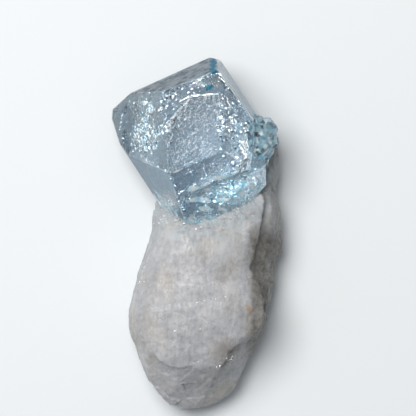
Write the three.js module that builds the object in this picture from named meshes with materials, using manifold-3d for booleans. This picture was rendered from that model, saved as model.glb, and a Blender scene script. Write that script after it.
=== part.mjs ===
// Euclase crystal on matrix: a pale blue, glassy, blocky crystal that grew on the end of a
// long lump of white feldspar. Millimetres, +Z up. The specimen lies on its flat back, the
// plane z = 0, and +Y runs from the rock towards the crystal. The origin is the middle of
// the specimen's footprint.

import * as THREE from 'three';
import { ImprovedNoise } from 'three/addons/math/ImprovedNoise.js';
import { mergeVertices } from 'three/addons/utils/BufferGeometryUtils.js';
import Module from 'manifold-3d';

const wasm = await Module();
wasm.setup();

// ---------------------------------------------------------------- driving dimensions

const SEAT_GAP = 0.3; // clearance left where the crystal is sunk into the rock

// The crystal's faces. Each is [azimuth of its normal in degrees (0 = +X, 90 = +Y), lean of
// the normal towards +Z in degrees, distance from the crystal's centre in mm].
const CRYSTAL_CENTRE = new THREE.Vector3(-1.13, 7.85, 5.0);
const CRYSTAL_STOCK = 18; // side of the block that the faces are cut from

const PRISM_FACES = [
  [114.3, 13.4, 5.24], // long upper left side
  [33.5, 7.2, 6.26], // long upper right side
  [-146.7, 16.8, 4.29], // long lower left side
  [180, 30, 4.35], // narrow left side
  [150, 26, 5.1], // blunted upper left corner
  [74, 6, 7.28], // blunted top corner
];

const FRONT_FACES = [
  [0, 90, 6.3], // table
  [90, 70.3, 7.15], // bevel under the top corner
  [137.7, 52, 6.1], // broad upper left bevel
  [0, 52, 6.98], // right bevel
  [-65.3, 49.4, 6.26], // lower bevel
  [-49.4, 37, 6.66], // small bright corner bevel
];

const BACK_FACES = [
  [0, -90, 4.1], // flat back, just clear of the ground
  [114.3, -22, 5.26], // upper left
  [33.5, -26, 6.0], // upper right
  [-146.7, -24, 4.5], // lower left
  [170, -30, 6.4], // left
  [-86, -48, 5.2], // the slope that the rock grips
  [-2, -20, 6.5], // right
];

const ROOT_FACES = [
  [-39.1, 0, 7.78], // lower right edge, over the crack
  [-85.5, 0, 7.07], // bottom, sunk in the rock
  [3.2, 0, 6.75], // right, beside the cluster
];

// Terraces: where the crystal stopped short or broke away. Each has the face that rises from
// it and the face that is its floor.
const TERRACES = [
  { riser: [-177.8, 27, 4.08], floor: [180, 62.5, 2.14] }, // low left end
  { riser: [-67.6, 8, 4.94], floor: [-45, 68, 5.3] }, // lower right corner
  { riser: [-6.6, 8, 6.26], floor: [0, 75, 4.65] }, // beside the cluster
];

// Shallow shell-shaped hollows where the lower right corner broke like glass.
const SCOOPS = [
  { centre: new THREE.Vector3(3.6, 2.4, 13.4), radius: 5.8 },
  { centre: new THREE.Vector3(4.9, 2.6, 10.3), radius: 2.9 },
  { centre: new THREE.Vector3(1.2, 1.5, 11.2), radius: 3.1 },
];
const SCOOP_DETAIL = 5; // how finely the hollows are faceted

// A thin flake is missing from the left end of the upper left side. Its middle is given by
// how far it lies along that side from the crystal's centre.
const FLAKE = { depth: 0.14, width: 4, along: 6.1 };

// The cluster of small grains grown on the crystal's right flank.
const CLUSTER = {
  centre: new THREE.Vector3(5.5, 7.9, 5.9),
  radii: new THREE.Vector3(1.1, 1.6, 2.3),
  grains: 48,
  grainSize: 0.7,
  grainLift: -0.08,
};

// The rock's outline, read along Y: each entry is [y, value].
const LEFT_EDGE = [
  [8.6, 6.2],
  [7.0, 5.2],
  [5.2, 1.6],
  [3.6, -2.6],
  [2.75, -3.45],
  [1.24, -3.75],
  [0.34, -3.81],
  [-0.63, -4.02],
  [-2.34, -4.6],
  [-3.42, -5.03],
  [-4.54, -5.31],
  [-5.72, -5.54],
  [-6.37, -5.75],
  [-7.18, -5.84],
  [-8.07, -5.8],
  [-8.78, -5.6],
  [-9.49, -5.25],
  [-10.8, -4.8],
  [-12.3, -4.2],
  [-13.6, -3.4],
  [-14.6, -2.3],
  [-15.3, -1.1],
];

const RIGHT_EDGE = [
  [8.6, 6.6],
  [7.0, 7.03],
  [5.09, 7.06],
  [4.16, 6.68],
  [3.15, 6.67],
  [2.19, 7.12],
  [0.46, 7.23],
  [-0.21, 7.18],
  [-0.71, 7.34],
  [-1.39, 7.31],
  [-1.97, 7.15],
  [-2.42, 6.69],
  [-3.01, 6.69],
  [-4.24, 6.61],
  [-5.0, 6.47],
  [-6.01, 6.32],
  [-6.27, 5.85],
  [-6.54, 5.85],
  [-6.85, 6.0],
  [-7.66, 5.82],
  [-8.11, 5.59],
  [-9.45, 5.17],
  [-10.46, 4.64],
  [-11.89, 3.87],
  [-13.1, 3.4],
  [-14.0, 2.8],
  [-14.6, 1.8],
];

// Where the white front breaks off in a scalloped lip over the side that falls away.
const LIP_EDGE = [
  [8.6, 6.3],
  [7.0, 6.2],
  [3.99, 5.75],
  [2.06, 5.65],
  [0.71, 5.42],
  [-0.55, 5.21],
  [-1.39, 4.91],
  [-2.31, 4.75],
  [-2.81, 4.49],
  [-3.57, 4.87],
  [-4.33, 5.38],
  [-5.08, 5.5],
  [-5.59, 5.65],
  [-6.89, 5.72],
  [-7.64, 5.6],
  [-8.15, 5.32],
  [-8.78, 4.62],
  [-9.16, 3.74],
  [-9.42, 3.1],
  [-10.46, 2.56],
  [-11.2, 2.1],
  [-13.0, 1.2],
  [-14.6, 0.5],
  [-15.2, 0.3],
];

const FRONT_HEIGHT = [
  [8.6, 2.2],
  [7.0, 3.0],
  [4.6, 4.0],
  [2.75, 5.6],
  [1.2, 7.4],
  [0, 8.1],
  [-2, 8.4],
  [-5, 8.6],
  [-8, 8.5],
  [-10, 8.1],
  [-11.2, 7.6],
  [-12.3, 6.0],
  [-13.6, 4.4],
  [-15.2, 2.6],
];

const LIP_HEIGHT = [
  [8.6, 2.2],
  [7.0, 3.2],
  [4, 5.4],
  [2, 6.3],
  [0.7, 6.9],
  [-2.8, 6.9],
  [-5.6, 7.3],
  [-8.2, 7.1],
  [-9.4, 7.3],
  [-11.0, 6.9],
  [-12.3, 5.6],
  [-15.2, 2.4],
];

// How far the lip overhangs the side below it.
const LIP_OVERHANG = [
  [8.6, 0],
  [1.0, 0.05],
  [-0.6, 0.1],
  [-2.8, 0.15],
  [-4.3, 0.55],
  [-7.6, 0.6],
  [-8.8, 0.5],
  [-9.4, 0.2],
  [-15.2, 0],
];

// Height of the ridge that runs down the middle of the falling side.
const RIDGE_HEIGHT = [
  [8.6, 1.9],
  [7.0, 2.8],
  [3.2, 4.9],
  [1.5, 5.6],
  [-0.6, 5.2],
  [-2.4, 4.9],
  [-4.2, 4.4],
  [-6.3, 4.6],
  [-8.1, 4.2],
  [-9.6, 5.0],
  [-11.9, 4.4],
  [-15.2, 2.4],
];

const WAIST_HEIGHT = 3.0; // where the rock is widest
const END_WAIST_HEIGHT = 1.8; // the same at its tapered ends
const BASE_INSET = 1.15; // how far the flat back stops short of the outline
const SHOULDER_WIDTH = 0.27; // rounded left shoulder, as a share of the front's width

const ROW_TOP = 8.1; // first row of the loft
const ROW_BOTTOM = -14.9; // last row
const ROW_PITCH = 0.3;
const ROW_SLOPE = 0.147; // the rows follow the rock's slanting cleavage
const SHOULDER_STEPS = 6;
const FRONT_STEPS = 8;
const BASE_STEPS = 4;

const LEDGE = { row: -5.68, rise: 0.14, run: 2.2 }; // a shallow step across the front
const LUMPS = { height: 0.22, size: 2.6, fine: 0.07, fineSize: 0.8 };

// Where the rock broke along its cleavage: a flat chip is missing, whose bared face has its
// middle at the given point and looks along the given azimuth and lean. Length runs up and
// down the face, width runs along it.
const CHIPS = [
  { x: 6.6, y: 1.3, z: 5.1, azimuth: -6, lean: 38, width: 3.4, length: 2.6 },
  { x: 5.7, y: -2.2, z: 5.2, azimuth: -32, lean: 36, width: 2.2, length: 2.6 },
  { x: 6.5, y: -4.1, z: 4.1, azimuth: 8, lean: 20, width: 3.2, length: 4.2 },
  { x: 5.7, y: -7.4, z: 4.3, azimuth: -14, lean: 24, width: 2.4, length: 4.4 },
  { x: 4.5, y: -10.4, z: 4.6, azimuth: -34, lean: 30, width: 6.0, length: 5.0 },
  { x: 0.9, y: -13.9, z: 4.6, azimuth: -88, lean: 44, width: 9, length: 8 },
  { x: -3.7, y: -12.9, z: 4.4, azimuth: -122, lean: 40, width: 7, length: 8 },
];
const CHIP_DEPTH = 2; // thicker than any chip needs to be

// The open crack that splits the lower right of the front.
const CRACK = { x: 2.72, y: -9.95, z: 7.6, width: 0.34, length: 1.9, depth: 2.2, turn: -22 };

// ---------------------------------------------------------------- materials

const EUCLASE = new THREE.MeshStandardMaterial({
  color: 0xb9d3e2,
  roughness: 0.05,
  metalness: 0,
  transparent: true,
  opacity: 0.5,
});

const FELDSPAR = new THREE.MeshStandardMaterial({
  color: 0xcfccc8,
  roughness: 0.75,
  metalness: 0,
});

// ---------------------------------------------------------------- solids

const UP = new THREE.Vector3(0, 0, 1);

// A closed geometry as a solid that can be joined and cut.
function solidOf(geometry) {
  const bare = geometry.clone();
  bare.deleteAttribute('normal');
  bare.deleteAttribute('uv');
  const merged = mergeVertices(bare, 1e-5);
  return new wasm.Manifold(new wasm.Mesh({
    numProp: 3,
    vertProperties: new Float32Array(merged.attributes.position.array),
    triVerts: new Uint32Array(merged.index.array),
  }));
}

function geometryOf(solid) {
  const mesh = solid.getMesh();
  const geometry = new THREE.BufferGeometry();
  geometry.setAttribute('position', new THREE.BufferAttribute(mesh.vertProperties, 3));
  geometry.setIndex(new THREE.BufferAttribute(mesh.triVerts, 1));
  const faceted = geometry.toNonIndexed();
  faceted.computeVertexNormals();
  return faceted;
}

function normalOf(azimuth, lean) {
  const turn = THREE.MathUtils.degToRad(azimuth);
  const rise = THREE.MathUtils.degToRad(lean);
  return new THREE.Vector3(
    Math.cos(rise) * Math.cos(turn),
    Math.cos(rise) * Math.sin(turn),
    Math.sin(rise),
  );
}

// Everything beyond one crystal face, moved outwards by grow.
function beyond([azimuth, lean, distance], grow) {
  const normal = normalOf(azimuth, lean);
  const block = new THREE.BoxGeometry(2 * CRYSTAL_STOCK, 2 * CRYSTAL_STOCK, CRYSTAL_STOCK);
  block.translate(0, 0, CRYSTAL_STOCK / 2 + distance + grow);
  block.applyQuaternion(new THREE.Quaternion().setFromUnitVectors(UP, normal));
  block.translate(...CRYSTAL_CENTRE);
  return solidOf(block);
}

// ---------------------------------------------------------------- the crystal

function scoop({ centre, radius }, grow) {
  const ball = new THREE.IcosahedronGeometry(radius - grow, SCOOP_DETAIL);
  ball.translate(...centre);
  return solidOf(ball);
}

// A thin slab let into the upper left side.
function flake() {
  const [azimuth, lean, distance] = PRISM_FACES[0];
  const outward = normalOf(azimuth, lean);
  const along = normalOf(azimuth + 90, 0);
  const upward = new THREE.Vector3().crossVectors(outward, along);
  const slab = new THREE.BoxGeometry(FLAKE.width, CRYSTAL_STOCK, 2 * FLAKE.depth);
  slab.translate(FLAKE.along, 0, distance);
  slab.applyMatrix4(new THREE.Matrix4().makeBasis(along, upward, outward));
  slab.translate(...CRYSTAL_CENTRE);
  return solidOf(slab);
}

// The blocky crystal without its cluster. With grow it is that much larger all round.
function crystalBlock(grow) {
  const stock = new THREE.BoxGeometry(CRYSTAL_STOCK, CRYSTAL_STOCK, CRYSTAL_STOCK);
  stock.translate(...CRYSTAL_CENTRE);
  let block = solidOf(stock);
  for (const face of [...PRISM_FACES, ...FRONT_FACES, ...BACK_FACES, ...ROOT_FACES]) {
    block = block.subtract(beyond(face, grow));
  }
  for (const { riser, floor } of TERRACES) {
    block = block.subtract(beyond(riser, grow).intersect(beyond(floor, grow)));
  }
  const brokenCorner = beyond(TERRACES[1].riser, grow);
  for (const hollow of SCOOPS) {
    block = block.subtract(brokenCorner.intersect(scoop(hollow, grow)));
  }
  return block;
}

function clusterCore(grow) {
  const core = new THREE.IcosahedronGeometry(1, 3);
  const { radii, centre } = CLUSTER;
  core.scale(radii.x + grow, radii.y + grow, radii.z + grow);
  core.translate(...centre);
  return solidOf(core);
}

// Small blunt grains spread evenly over the outer half of the cluster.
function clusterGrains() {
  const { centre, radii, grains, grainSize, grainLift } = CLUSTER;
  const turnPerGrain = Math.PI * (3 - Math.sqrt(5));
  let joined = clusterCore(0);
  for (let i = 0; i < grains; i += 1) {
    const height = 1 - (2 * (i + 0.5)) / grains;
    const ring = Math.sqrt(1 - height * height);
    const turn = i * turnPerGrain;
    const out = new THREE.Vector3(ring * Math.cos(turn), ring * Math.sin(turn), height);
    const size = grainSize * (0.7 + 0.6 * THREE.MathUtils.seededRandom(100 + i));
    const grain = new THREE.BoxGeometry(size, size * 0.8, size * 1.5);
    grain.rotateX(Math.PI * THREE.MathUtils.seededRandom(200 + i));
    grain.rotateZ(Math.PI * THREE.MathUtils.seededRandom(300 + i));
    grain.translate(
      centre.x + out.x * (radii.x + grainLift),
      centre.y + out.y * (radii.y + grainLift),
      centre.z + out.z * (radii.z + grainLift),
    );
    joined = joined.add(solidOf(grain));
  }
  return joined;
}

function euclaseCrystal() {
  return crystalBlock(0).subtract(flake()).add(clusterGrains());
}

// ---------------------------------------------------------------- the rock

// Straight-line reading of an outline listed by falling y.
function read(outline, y) {
  if (y >= outline[0][0]) {
    return outline[0][1];
  }
  for (let i = 1; i < outline.length; i += 1) {
    const [y0, v0] = outline[i - 1];
    const [y1, v1] = outline[i];
    if (y >= y1) {
      return THREE.MathUtils.mapLinear(y, y0, y1, v0, v1);
    }
  }
  return outline[outline.length - 1][1];
}

const noise = new ImprovedNoise();

function lumps(x, y, z) {
  const broad = noise.noise(x / LUMPS.size, y / LUMPS.size, z / LUMPS.size);
  const fine = noise.noise(x / LUMPS.fineSize, y / LUMPS.fineSize, z / LUMPS.fineSize);
  return LUMPS.height * broad + LUMPS.fine * fine;
}

// The step across the front: sharp on the crystal's side, fading out away from it.
function ledgeRise(row) {
  const past = LEDGE.row - row;
  return past > 0 && past < LEDGE.run ? LEDGE.rise * (1 - past / LEDGE.run) : 0;
}

// One closed ring of the loft, from the back's left edge over the front to the right edge.
function rockRow(row) {
  const yAt = (x) => row + ROW_SLOPE * x;
  const left = read(LEFT_EDGE, yAt(read(LEFT_EDGE, row)));
  const right = read(RIGHT_EDGE, yAt(read(RIGHT_EDGE, row)));
  const lip = read(LIP_EDGE, yAt(read(LIP_EDGE, row)));
  const overhang = read(LIP_OVERHANG, row);
  const front = read(FRONT_HEIGHT, row) + ledgeRise(row);
  const lipHeight = Math.min(read(LIP_HEIGHT, yAt(lip)), front);
  const ridge = read(RIDGE_HEIGHT, yAt(right));
  const waist = Math.min(WAIST_HEIGHT, front * 0.6, END_WAIST_HEIGHT + 0.3 * front);
  const inset = Math.min(BASE_INSET, 0.3 * (right - left));
  const ring = [];

  ring.push([left + inset, 0], [left + 0.35 * inset, 0.35 * waist], [left, waist]);
  const shoulder = SHOULDER_WIDTH * (lip - left);
  for (let i = 1; i <= SHOULDER_STEPS; i += 1) {
    const angle = (0.5 * Math.PI * i) / SHOULDER_STEPS;
    const x = left + shoulder * (1 - Math.cos(angle));
    ring.push([x, waist + (front - waist) * Math.sin(angle)]);
  }
  for (let i = 1; i < FRONT_STEPS; i += 1) {
    const share = i / FRONT_STEPS;
    const x = THREE.MathUtils.lerp(left + shoulder, lip, share);
    ring.push([x, THREE.MathUtils.lerp(front, lipHeight, share ** 2.4)]);
  }
  const lipThick = 0.12 * lipHeight;
  ring.push([lip, lipHeight - 0.1], [lip - overhang, lipHeight - lipThick]);
  const ridgeX = THREE.MathUtils.lerp(lip, right, 0.55);
  ring.push([ridgeX, Math.min(ridge, lipHeight - 1.6 * lipThick)]);
  ring.push([right, waist], [right - 0.3 * inset, 0.35 * waist], [right - inset, 0]);
  for (let i = 1; i < BASE_STEPS; i += 1) {
    const share = i / BASE_STEPS;
    ring.push([THREE.MathUtils.lerp(right - inset, left + inset, share), 0]);
  }
  return ring.map(([x, z]) => {
    const y = yAt(x);
    const lift = z > 0 ? lumps(x, y, z) * Math.min(1, z / 3) : 0;
    return new THREE.Vector3(x, y, z + lift);
  });
}

function middleOf(points) {
  const sum = points.reduce((total, point) => total.add(point), new THREE.Vector3());
  return sum.divideScalar(points.length);
}

// Joins the rows into a closed skin with a flat cap at each end.
function rockLoft() {
  const rows = [];
  const count = Math.round((ROW_TOP - ROW_BOTTOM) / ROW_PITCH);
  for (let i = 0; i <= count; i += 1) {
    rows.push(rockRow(THREE.MathUtils.lerp(ROW_TOP, ROW_BOTTOM, i / count)));
  }
  const ringSize = rows[0].length;
  const positions = rows.flat().flatMap((point) => [point.x, point.y, point.z]);
  const triangles = [];
  for (let i = 0; i < count; i += 1) {
    for (let j = 0; j < ringSize; j += 1) {
      const a = i * ringSize + j;
      const b = i * ringSize + ((j + 1) % ringSize);
      const c = a + ringSize;
      const d = b + ringSize;
      triangles.push(a, d, b, a, c, d);
    }
  }
  const topCentre = positions.length / 3;
  const bottomCentre = topCentre + 1;
  positions.push(...middleOf(rows[0]), ...middleOf(rows[count]));
  for (let j = 0; j < ringSize; j += 1) {
    const next = (j + 1) % ringSize;
    triangles.push(topCentre, j, next);
    triangles.push(bottomCentre, count * ringSize + next, count * ringSize + j);
  }
  const geometry = new THREE.BufferGeometry();
  geometry.setAttribute('position', new THREE.Float32BufferAttribute(positions, 3));
  geometry.setIndex(triangles);
  return solidOf(geometry);
}

function chip({ x, y, z, azimuth, lean, width, length }) {
  const outward = normalOf(azimuth, lean);
  const along = normalOf(azimuth + 90, 0);
  const upward = new THREE.Vector3().crossVectors(outward, along);
  const flat = new THREE.BoxGeometry(width, length, CHIP_DEPTH);
  flat.translate(0, 0, CHIP_DEPTH / 2);
  flat.applyMatrix4(new THREE.Matrix4().makeBasis(along, upward, outward));
  flat.translate(x, y, z);
  return solidOf(flat);
}

function crack() {
  const wedge = new THREE.CylinderGeometry(CRACK.width, 0.01, CRACK.depth, 4);
  wedge.rotateX(Math.PI / 2);
  wedge.scale(1, CRACK.length / CRACK.width, 1);
  wedge.rotateZ(THREE.MathUtils.degToRad(CRACK.turn));
  wedge.translate(CRACK.x, CRACK.y, CRACK.z);
  return solidOf(wedge);
}

function feldsparMatrix() {
  const socket = crystalBlock(SEAT_GAP).add(clusterCore(SEAT_GAP + CLUSTER.grainSize));
  let rock = rockLoft().subtract(crack());
  for (const missing of CHIPS) {
    rock = rock.subtract(chip(missing));
  }
  return rock.subtract(socket);
}

// ---------------------------------------------------------------- the specimen

function piece(name, solid, material) {
  const mesh = new THREE.Mesh(geometryOf(solid), material);
  mesh.name = name;
  return mesh;
}

const specimen = new THREE.Group();
specimen.add(piece('euclase_crystal', euclaseCrystal(), EUCLASE));
specimen.add(piece('feldspar_matrix', feldsparMatrix(), FELDSPAR));

const extent = new THREE.Box3().setFromObject(specimen);
const middle = extent.getCenter(new THREE.Vector3());
specimen.position.set(-middle.x, -middle.y, -extent.min.z);

export default specimen;
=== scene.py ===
"""Looks of a euclase crystal on its rock: a pale blue glassy crystal full of small veils, with
a cluster of rough grains on its flank, grown on the end of a long lump of white feldspar."""

import math
import random

import bmesh
import bpy
from bpy.props import FloatProperty, FloatVectorProperty, IntProperty, PointerProperty
from mathutils import Matrix, Vector, geometry, noise
from mathutils.bvhtree import BVHTree


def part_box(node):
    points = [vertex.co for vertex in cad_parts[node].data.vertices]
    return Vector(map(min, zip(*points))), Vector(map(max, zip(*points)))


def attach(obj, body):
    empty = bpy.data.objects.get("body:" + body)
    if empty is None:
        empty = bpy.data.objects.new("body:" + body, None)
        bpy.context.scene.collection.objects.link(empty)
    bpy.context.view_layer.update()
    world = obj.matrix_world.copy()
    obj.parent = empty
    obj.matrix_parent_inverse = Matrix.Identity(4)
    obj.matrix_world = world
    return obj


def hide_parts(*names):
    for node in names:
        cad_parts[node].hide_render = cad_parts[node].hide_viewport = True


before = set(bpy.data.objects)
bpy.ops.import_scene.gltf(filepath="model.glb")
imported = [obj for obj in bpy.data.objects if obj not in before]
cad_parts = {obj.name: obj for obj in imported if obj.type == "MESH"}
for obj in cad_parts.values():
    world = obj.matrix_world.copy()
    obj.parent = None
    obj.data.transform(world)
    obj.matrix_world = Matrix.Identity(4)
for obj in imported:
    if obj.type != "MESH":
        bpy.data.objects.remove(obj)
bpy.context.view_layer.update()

bl_info = {
    "name": "Euclase on matrix",
    "version": (1, 0, 0),
    "blender": (4, 5, 0),
    "location": "View3D > Sidebar > Specimen",
    "description": "Dresses a euclase crystal on feldspar as a finished mineral specimen",
    "category": "Add Mesh",
}

MM = 0.001
ROOT = "root"
CRYSTAL_NODE = "euclase_crystal"
ROCK_NODE = "feldspar_matrix"
CRYSTAL_PIECE = "euclase"
ROCK_PIECE = "feldspar"

CRYSTAL_LOW, CRYSTAL_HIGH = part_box(CRYSTAL_NODE)


def millimetres(x, y, z):
    """A place or a reach given in millimetres."""
    return Vector((x, y, z)) * MM


CLUSTER_MIDDLE = millimetres(5.45, 8.0, 5.9)
CLUSTER_REACH = millimetres(1.25, 1.75, 2.45)
CLUSTER_TIPS = 5.9 * MM  # all of the crystal beyond this along X is the cluster
KEY_PLACE = millimetres(-62.0, 72.0, 236.0)
DOWN = Vector((0.0, 0.0, -1.0))
BLACK = (0.0, 0.0, 0.0)
WHITE = (1.0, 1.0, 1.0)


# ---------------------------------------------------------------- settings


class CrystalSettings(bpy.types.PropertyGroup):
    """The crystal's surface and the colour of its body"""

    edge_wear: FloatProperty(
        name="Edge wear",
        description="Width of the rounding along the crystal's long edges",
        default=0.075 * MM,
        unit="LENGTH",
        precision=5,
    )
    fineness: FloatProperty(
        name="Surface fineness",
        description="Longest edge of the mesh that the growth relief is worked into",
        default=0.22 * MM,
        unit="LENGTH",
        precision=5,
    )
    tint: FloatVectorProperty(
        name="Body colour",
        description="Colour that light takes on as it goes through the crystal",
        default=(0.30, 0.62, 0.80),
        subtype="COLOR",
    )
    depth_of_colour: FloatProperty(
        name="Depth of colour",
        description="How strongly a metre of crystal absorbs light",
        default=18.0,
    )
    refraction: FloatProperty(
        name="Refractive index",
        description="Refractive index of euclase",
        default=1.652,
    )


class VeilSettings(bpy.types.PropertyGroup):
    """The small flakes and hollows inside the crystal"""

    flake_size: FloatProperty(
        name="Flake size",
        description="Usual width of a flat hollow in a veil",
        default=0.16 * MM,
        unit="LENGTH",
        precision=5,
    )
    haze_count: IntProperty(
        name="Haze flakes",
        description="Number of tiny hollows scattered through the whole crystal",
        default=200,
    )


class ClusterSettings(bpy.types.PropertyGroup):
    """The rough grains on the crystal's flank"""

    grain_count: IntProperty(
        name="Grains",
        description="Number of small crystals in the side cluster",
        default=240,
    )
    grain_size: FloatProperty(
        name="Grain size",
        description="Usual width of a grain",
        default=0.14 * MM,
        unit="LENGTH",
        precision=5,
    )
    tint: FloatVectorProperty(
        name="Grain colour",
        description="Colour of the rough grains",
        default=(0.30, 0.47, 0.54),
        subtype="COLOR",
    )


class RockSettings(bpy.types.PropertyGroup):
    """The rock's surface and colours"""

    voxel: FloatProperty(
        name="Surface fineness",
        description="Size of the even mesh that the relief is worked into",
        default=0.104 * MM,
        unit="LENGTH",
        precision=5,
    )
    white: FloatVectorProperty(
        name="Feldspar white",
        description="Colour of the clean rock",
        default=(0.47, 0.477, 0.493),
        subtype="COLOR",
    )
    stain: FloatVectorProperty(
        name="Stain",
        description="Colour of the brownish patches",
        default=(0.455, 0.44, 0.42),
        subtype="COLOR",
    )
    # The right side's colour: partly an old weathered crust, partly painted shade.
    dark: FloatVectorProperty(
        name="Weathered and shaded side",
        description="Colour of the older broken faces on the right",
        default=(0.155, 0.15, 0.14),
        subtype="COLOR",
    )


class StageSettings(bpy.types.PropertyGroup):
    """The floor and the lights"""

    floor_tint: FloatVectorProperty(
        name="Floor",
        description="Colour of the pale floor",
        default=(0.83, 0.87, 0.90),
        subtype="COLOR",
    )
    key_power: FloatProperty(
        name="Key light",
        description="Power of the large soft light",
        default=0.57,
        unit="POWER",
    )
    room_glow: FloatProperty(
        name="Room",
        description="Strength of the even light from all round",
        default=0.36,
    )


# ---------------------------------------------------------------- helpers


def feed(tree, made, inputs):
    """Sets a shader node's inputs; an input may be another node's socket."""
    for name, value in inputs.items():
        if isinstance(value, bpy.types.NodeSocket):
            tree.links.new(value, made.inputs[name])
        else:
            made.inputs[name].default_value = value


def node(tree, kind, inputs, **settings):
    """A new shader node with its settings and inputs."""
    made = tree.nodes.new(kind)
    for name, value in settings.items():
        setattr(made, name, value)
    feed(tree, made, inputs)
    return made


def new_material(name):
    """A material with one Principled shader, and its node tree and that shader."""
    material = bpy.data.materials.new(name)
    material.use_nodes = True
    tree = material.node_tree
    shader = tree.nodes["Principled BSDF"]
    return material, tree, shader


def object_place(tree):
    """Where a shaded point lies, in object coordinates."""
    return node(tree, "ShaderNodeTexCoord", {}).outputs["Object"]


def pattern_space(tree, scale, turn=(0.0, 0.0, 0.0)):
    """Object coordinates in millimetres, scaled and turned."""
    steps = tuple(part / MM for part in scale)
    inputs = {"Vector": object_place(tree), "Scale": steps, "Rotation": turn}
    return node(tree, "ShaderNodeMapping", inputs).outputs["Vector"]


def ramp(tree, factor, stops):
    """A colour ramp through (position, colour) stops."""
    made = node(tree, "ShaderNodeValToRGB", {"Fac": factor})
    elements = made.color_ramp.elements
    while len(elements) < len(stops):
        elements.new(1.0)
    for element, (position, colour) in zip(elements, stops):
        element.position = position
        element.color = (*colour, 1.0)
    return made.outputs["Color"]


def blend(tree, factor, first, second, mode="MIX"):
    """One colour blended over another; each is a colour or a socket."""
    first, second = (
        value if isinstance(value, bpy.types.NodeSocket) else (*value, 1.0)
        for value in (first, second)
    )
    inputs = {0: factor, 6: first, 7: second}
    return node(tree, "ShaderNodeMix", inputs, data_type="RGBA", blend_type=mode).outputs[2]


def arithmetic(tree, operation, first, second):
    """The result of a sum on two numbers or sockets."""
    return node(tree, "ShaderNodeMath", {0: first, 1: second}, operation=operation).outputs[0]


def rescale(tree, value, reach, low, high, curve="LINEAR"):
    """Turns a value between 0 and its reach into one between two others."""
    inputs = {"Value": value, "From Max": reach, "To Min": low, "To Max": high}
    return node(tree, "ShaderNodeMapRange", inputs, interpolation_type=curve).outputs["Result"]


def bump(tree, height, depth, under=None):
    """The normal of a surface that a pattern raises, to a depth in millimetres."""
    inputs = {"Height": height, "Strength": 1.0, "Distance": depth * MM}
    if under is not None:
        inputs["Normal"] = under
    return node(tree, "ShaderNodeBump", inputs).outputs["Normal"]


def noise_factor(tree, scale, detail, turn=(0.0, 0.0, 0.0)):
    """A noise pattern with that many features per millimetre along each axis."""
    inputs = {"Vector": pattern_space(tree, scale, turn), "Scale": 1.0, "Detail": detail}
    return node(tree, "ShaderNodeTexNoise", inputs).outputs["Fac"]


def cells(tree, scale):
    """A cell pattern with that many cells per millimetre along each axis."""
    inputs = {"Vector": pattern_space(tree, scale), "Scale": 1.0}
    return node(tree, "ShaderNodeTexVoronoi", inputs)


def cell_shade(tree, scale):
    """A shade of its own for each cell of a pattern, from 0 to 1."""
    colour = cells(tree, scale).outputs["Color"]
    return node(tree, "ShaderNodeSeparateColor", {"Color": colour}).outputs["Red"]


def stored(tree, name):
    """A value that the mesh stores for each of its corners or vertices."""
    return node(tree, "ShaderNodeAttribute", {}, attribute_name=name)


def mottled(name, per_millimetre, detail, first, second, inputs):
    """A finish that wanders between two colours, each given with its place on the ramp."""
    material, tree, shader = new_material(name)
    shade = noise_factor(tree, (per_millimetre,) * 3, detail)
    feed(tree, shader, {"Base Color": ramp(tree, shade, [first, second]), **inputs})
    return material


def held(value):
    """The value, held between 0 and 1."""
    return max(0.0, min(1.0, value))


def jitter(dice, spread, axes=3):
    """A random step of about that length along each axis."""
    return Vector([dice.gauss(0.0, spread) for _ in range(axes)])


def smooth(shape, verts):
    """Smooths some of a shape's vertices once."""
    axes = {f"use_axis_{axis}": True for axis in "xyz"}
    bmesh.ops.smooth_vert(shape, verts=verts, factor=0.5, **axes)


SAME_PLACE = 0.0005 * MM  # corners of a solid that are closer than this are one
NEXT_HIT = 1e-7  # how far past a face a ray starts again
MOST_HITS = 20
UPWARD = Vector((0.013, 0.007, 1.0)).normalized()  # tilted, to miss edges that stand upright
LEAN_PATTERN = 7.31  # spreads neighbouring cells far apart in the noise that tilts them


def copy_of_solid(node_name):
    """A bmesh of a CAD node's shape with its loose triangles merged."""
    shape = bmesh.new()
    shape.from_mesh(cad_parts[node_name].data)
    bmesh.ops.remove_doubles(shape, verts=shape.verts, dist=SAME_PLACE)
    return shape


def make_piece(name, shape, materials, node_name):
    """Turns a bmesh into a piece that stands for a CAD node."""
    mesh = bpy.data.meshes.new(name)
    shape.to_mesh(mesh)
    shape.free()
    piece = bpy.data.objects.new(name, mesh)
    bpy.context.scene.collection.objects.link(piece)
    for material in materials:
        mesh.materials.append(material)
    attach(piece, ROOT)
    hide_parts(node_name)
    return piece


def apply_modifiers(piece):
    """Bakes a piece's modifiers into its mesh."""
    graph = bpy.context.evaluated_depsgraph_get()
    baked = bpy.data.meshes.new_from_object(piece.evaluated_get(graph))
    piece.modifiers.clear()
    piece.data = baked


def is_inside(tree, point):
    """True where a point lies inside the closed shape of a BVH tree."""
    start = point
    for hits in range(MOST_HITS):
        place = tree.ray_cast(start, UPWARD)[0]
        if place is None:
            return hits % 2 == 1
        start = place + UPWARD * NEXT_HIT
    return False


def renewed(shape):
    """The same bmesh with its faces and edges in an order that is the same each time."""
    mesh = bpy.data.meshes.new("renewed")
    shape.to_mesh(mesh)
    shape.free()
    fresh = bmesh.new()
    fresh.from_mesh(mesh)
    bpy.data.meshes.remove(mesh)
    return fresh


def craggy(point, cell, tilt):
    """Relief of small tilted cleavage faces, one for each cell."""
    _, corners = noise.voronoi(point / cell)
    middle = corners[0]
    lean = noise.noise_vector(middle * LEAN_PATTERN)
    return (point / cell - middle).dot(lean) * tilt


# ---------------------------------------------------------------- crystal

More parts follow.
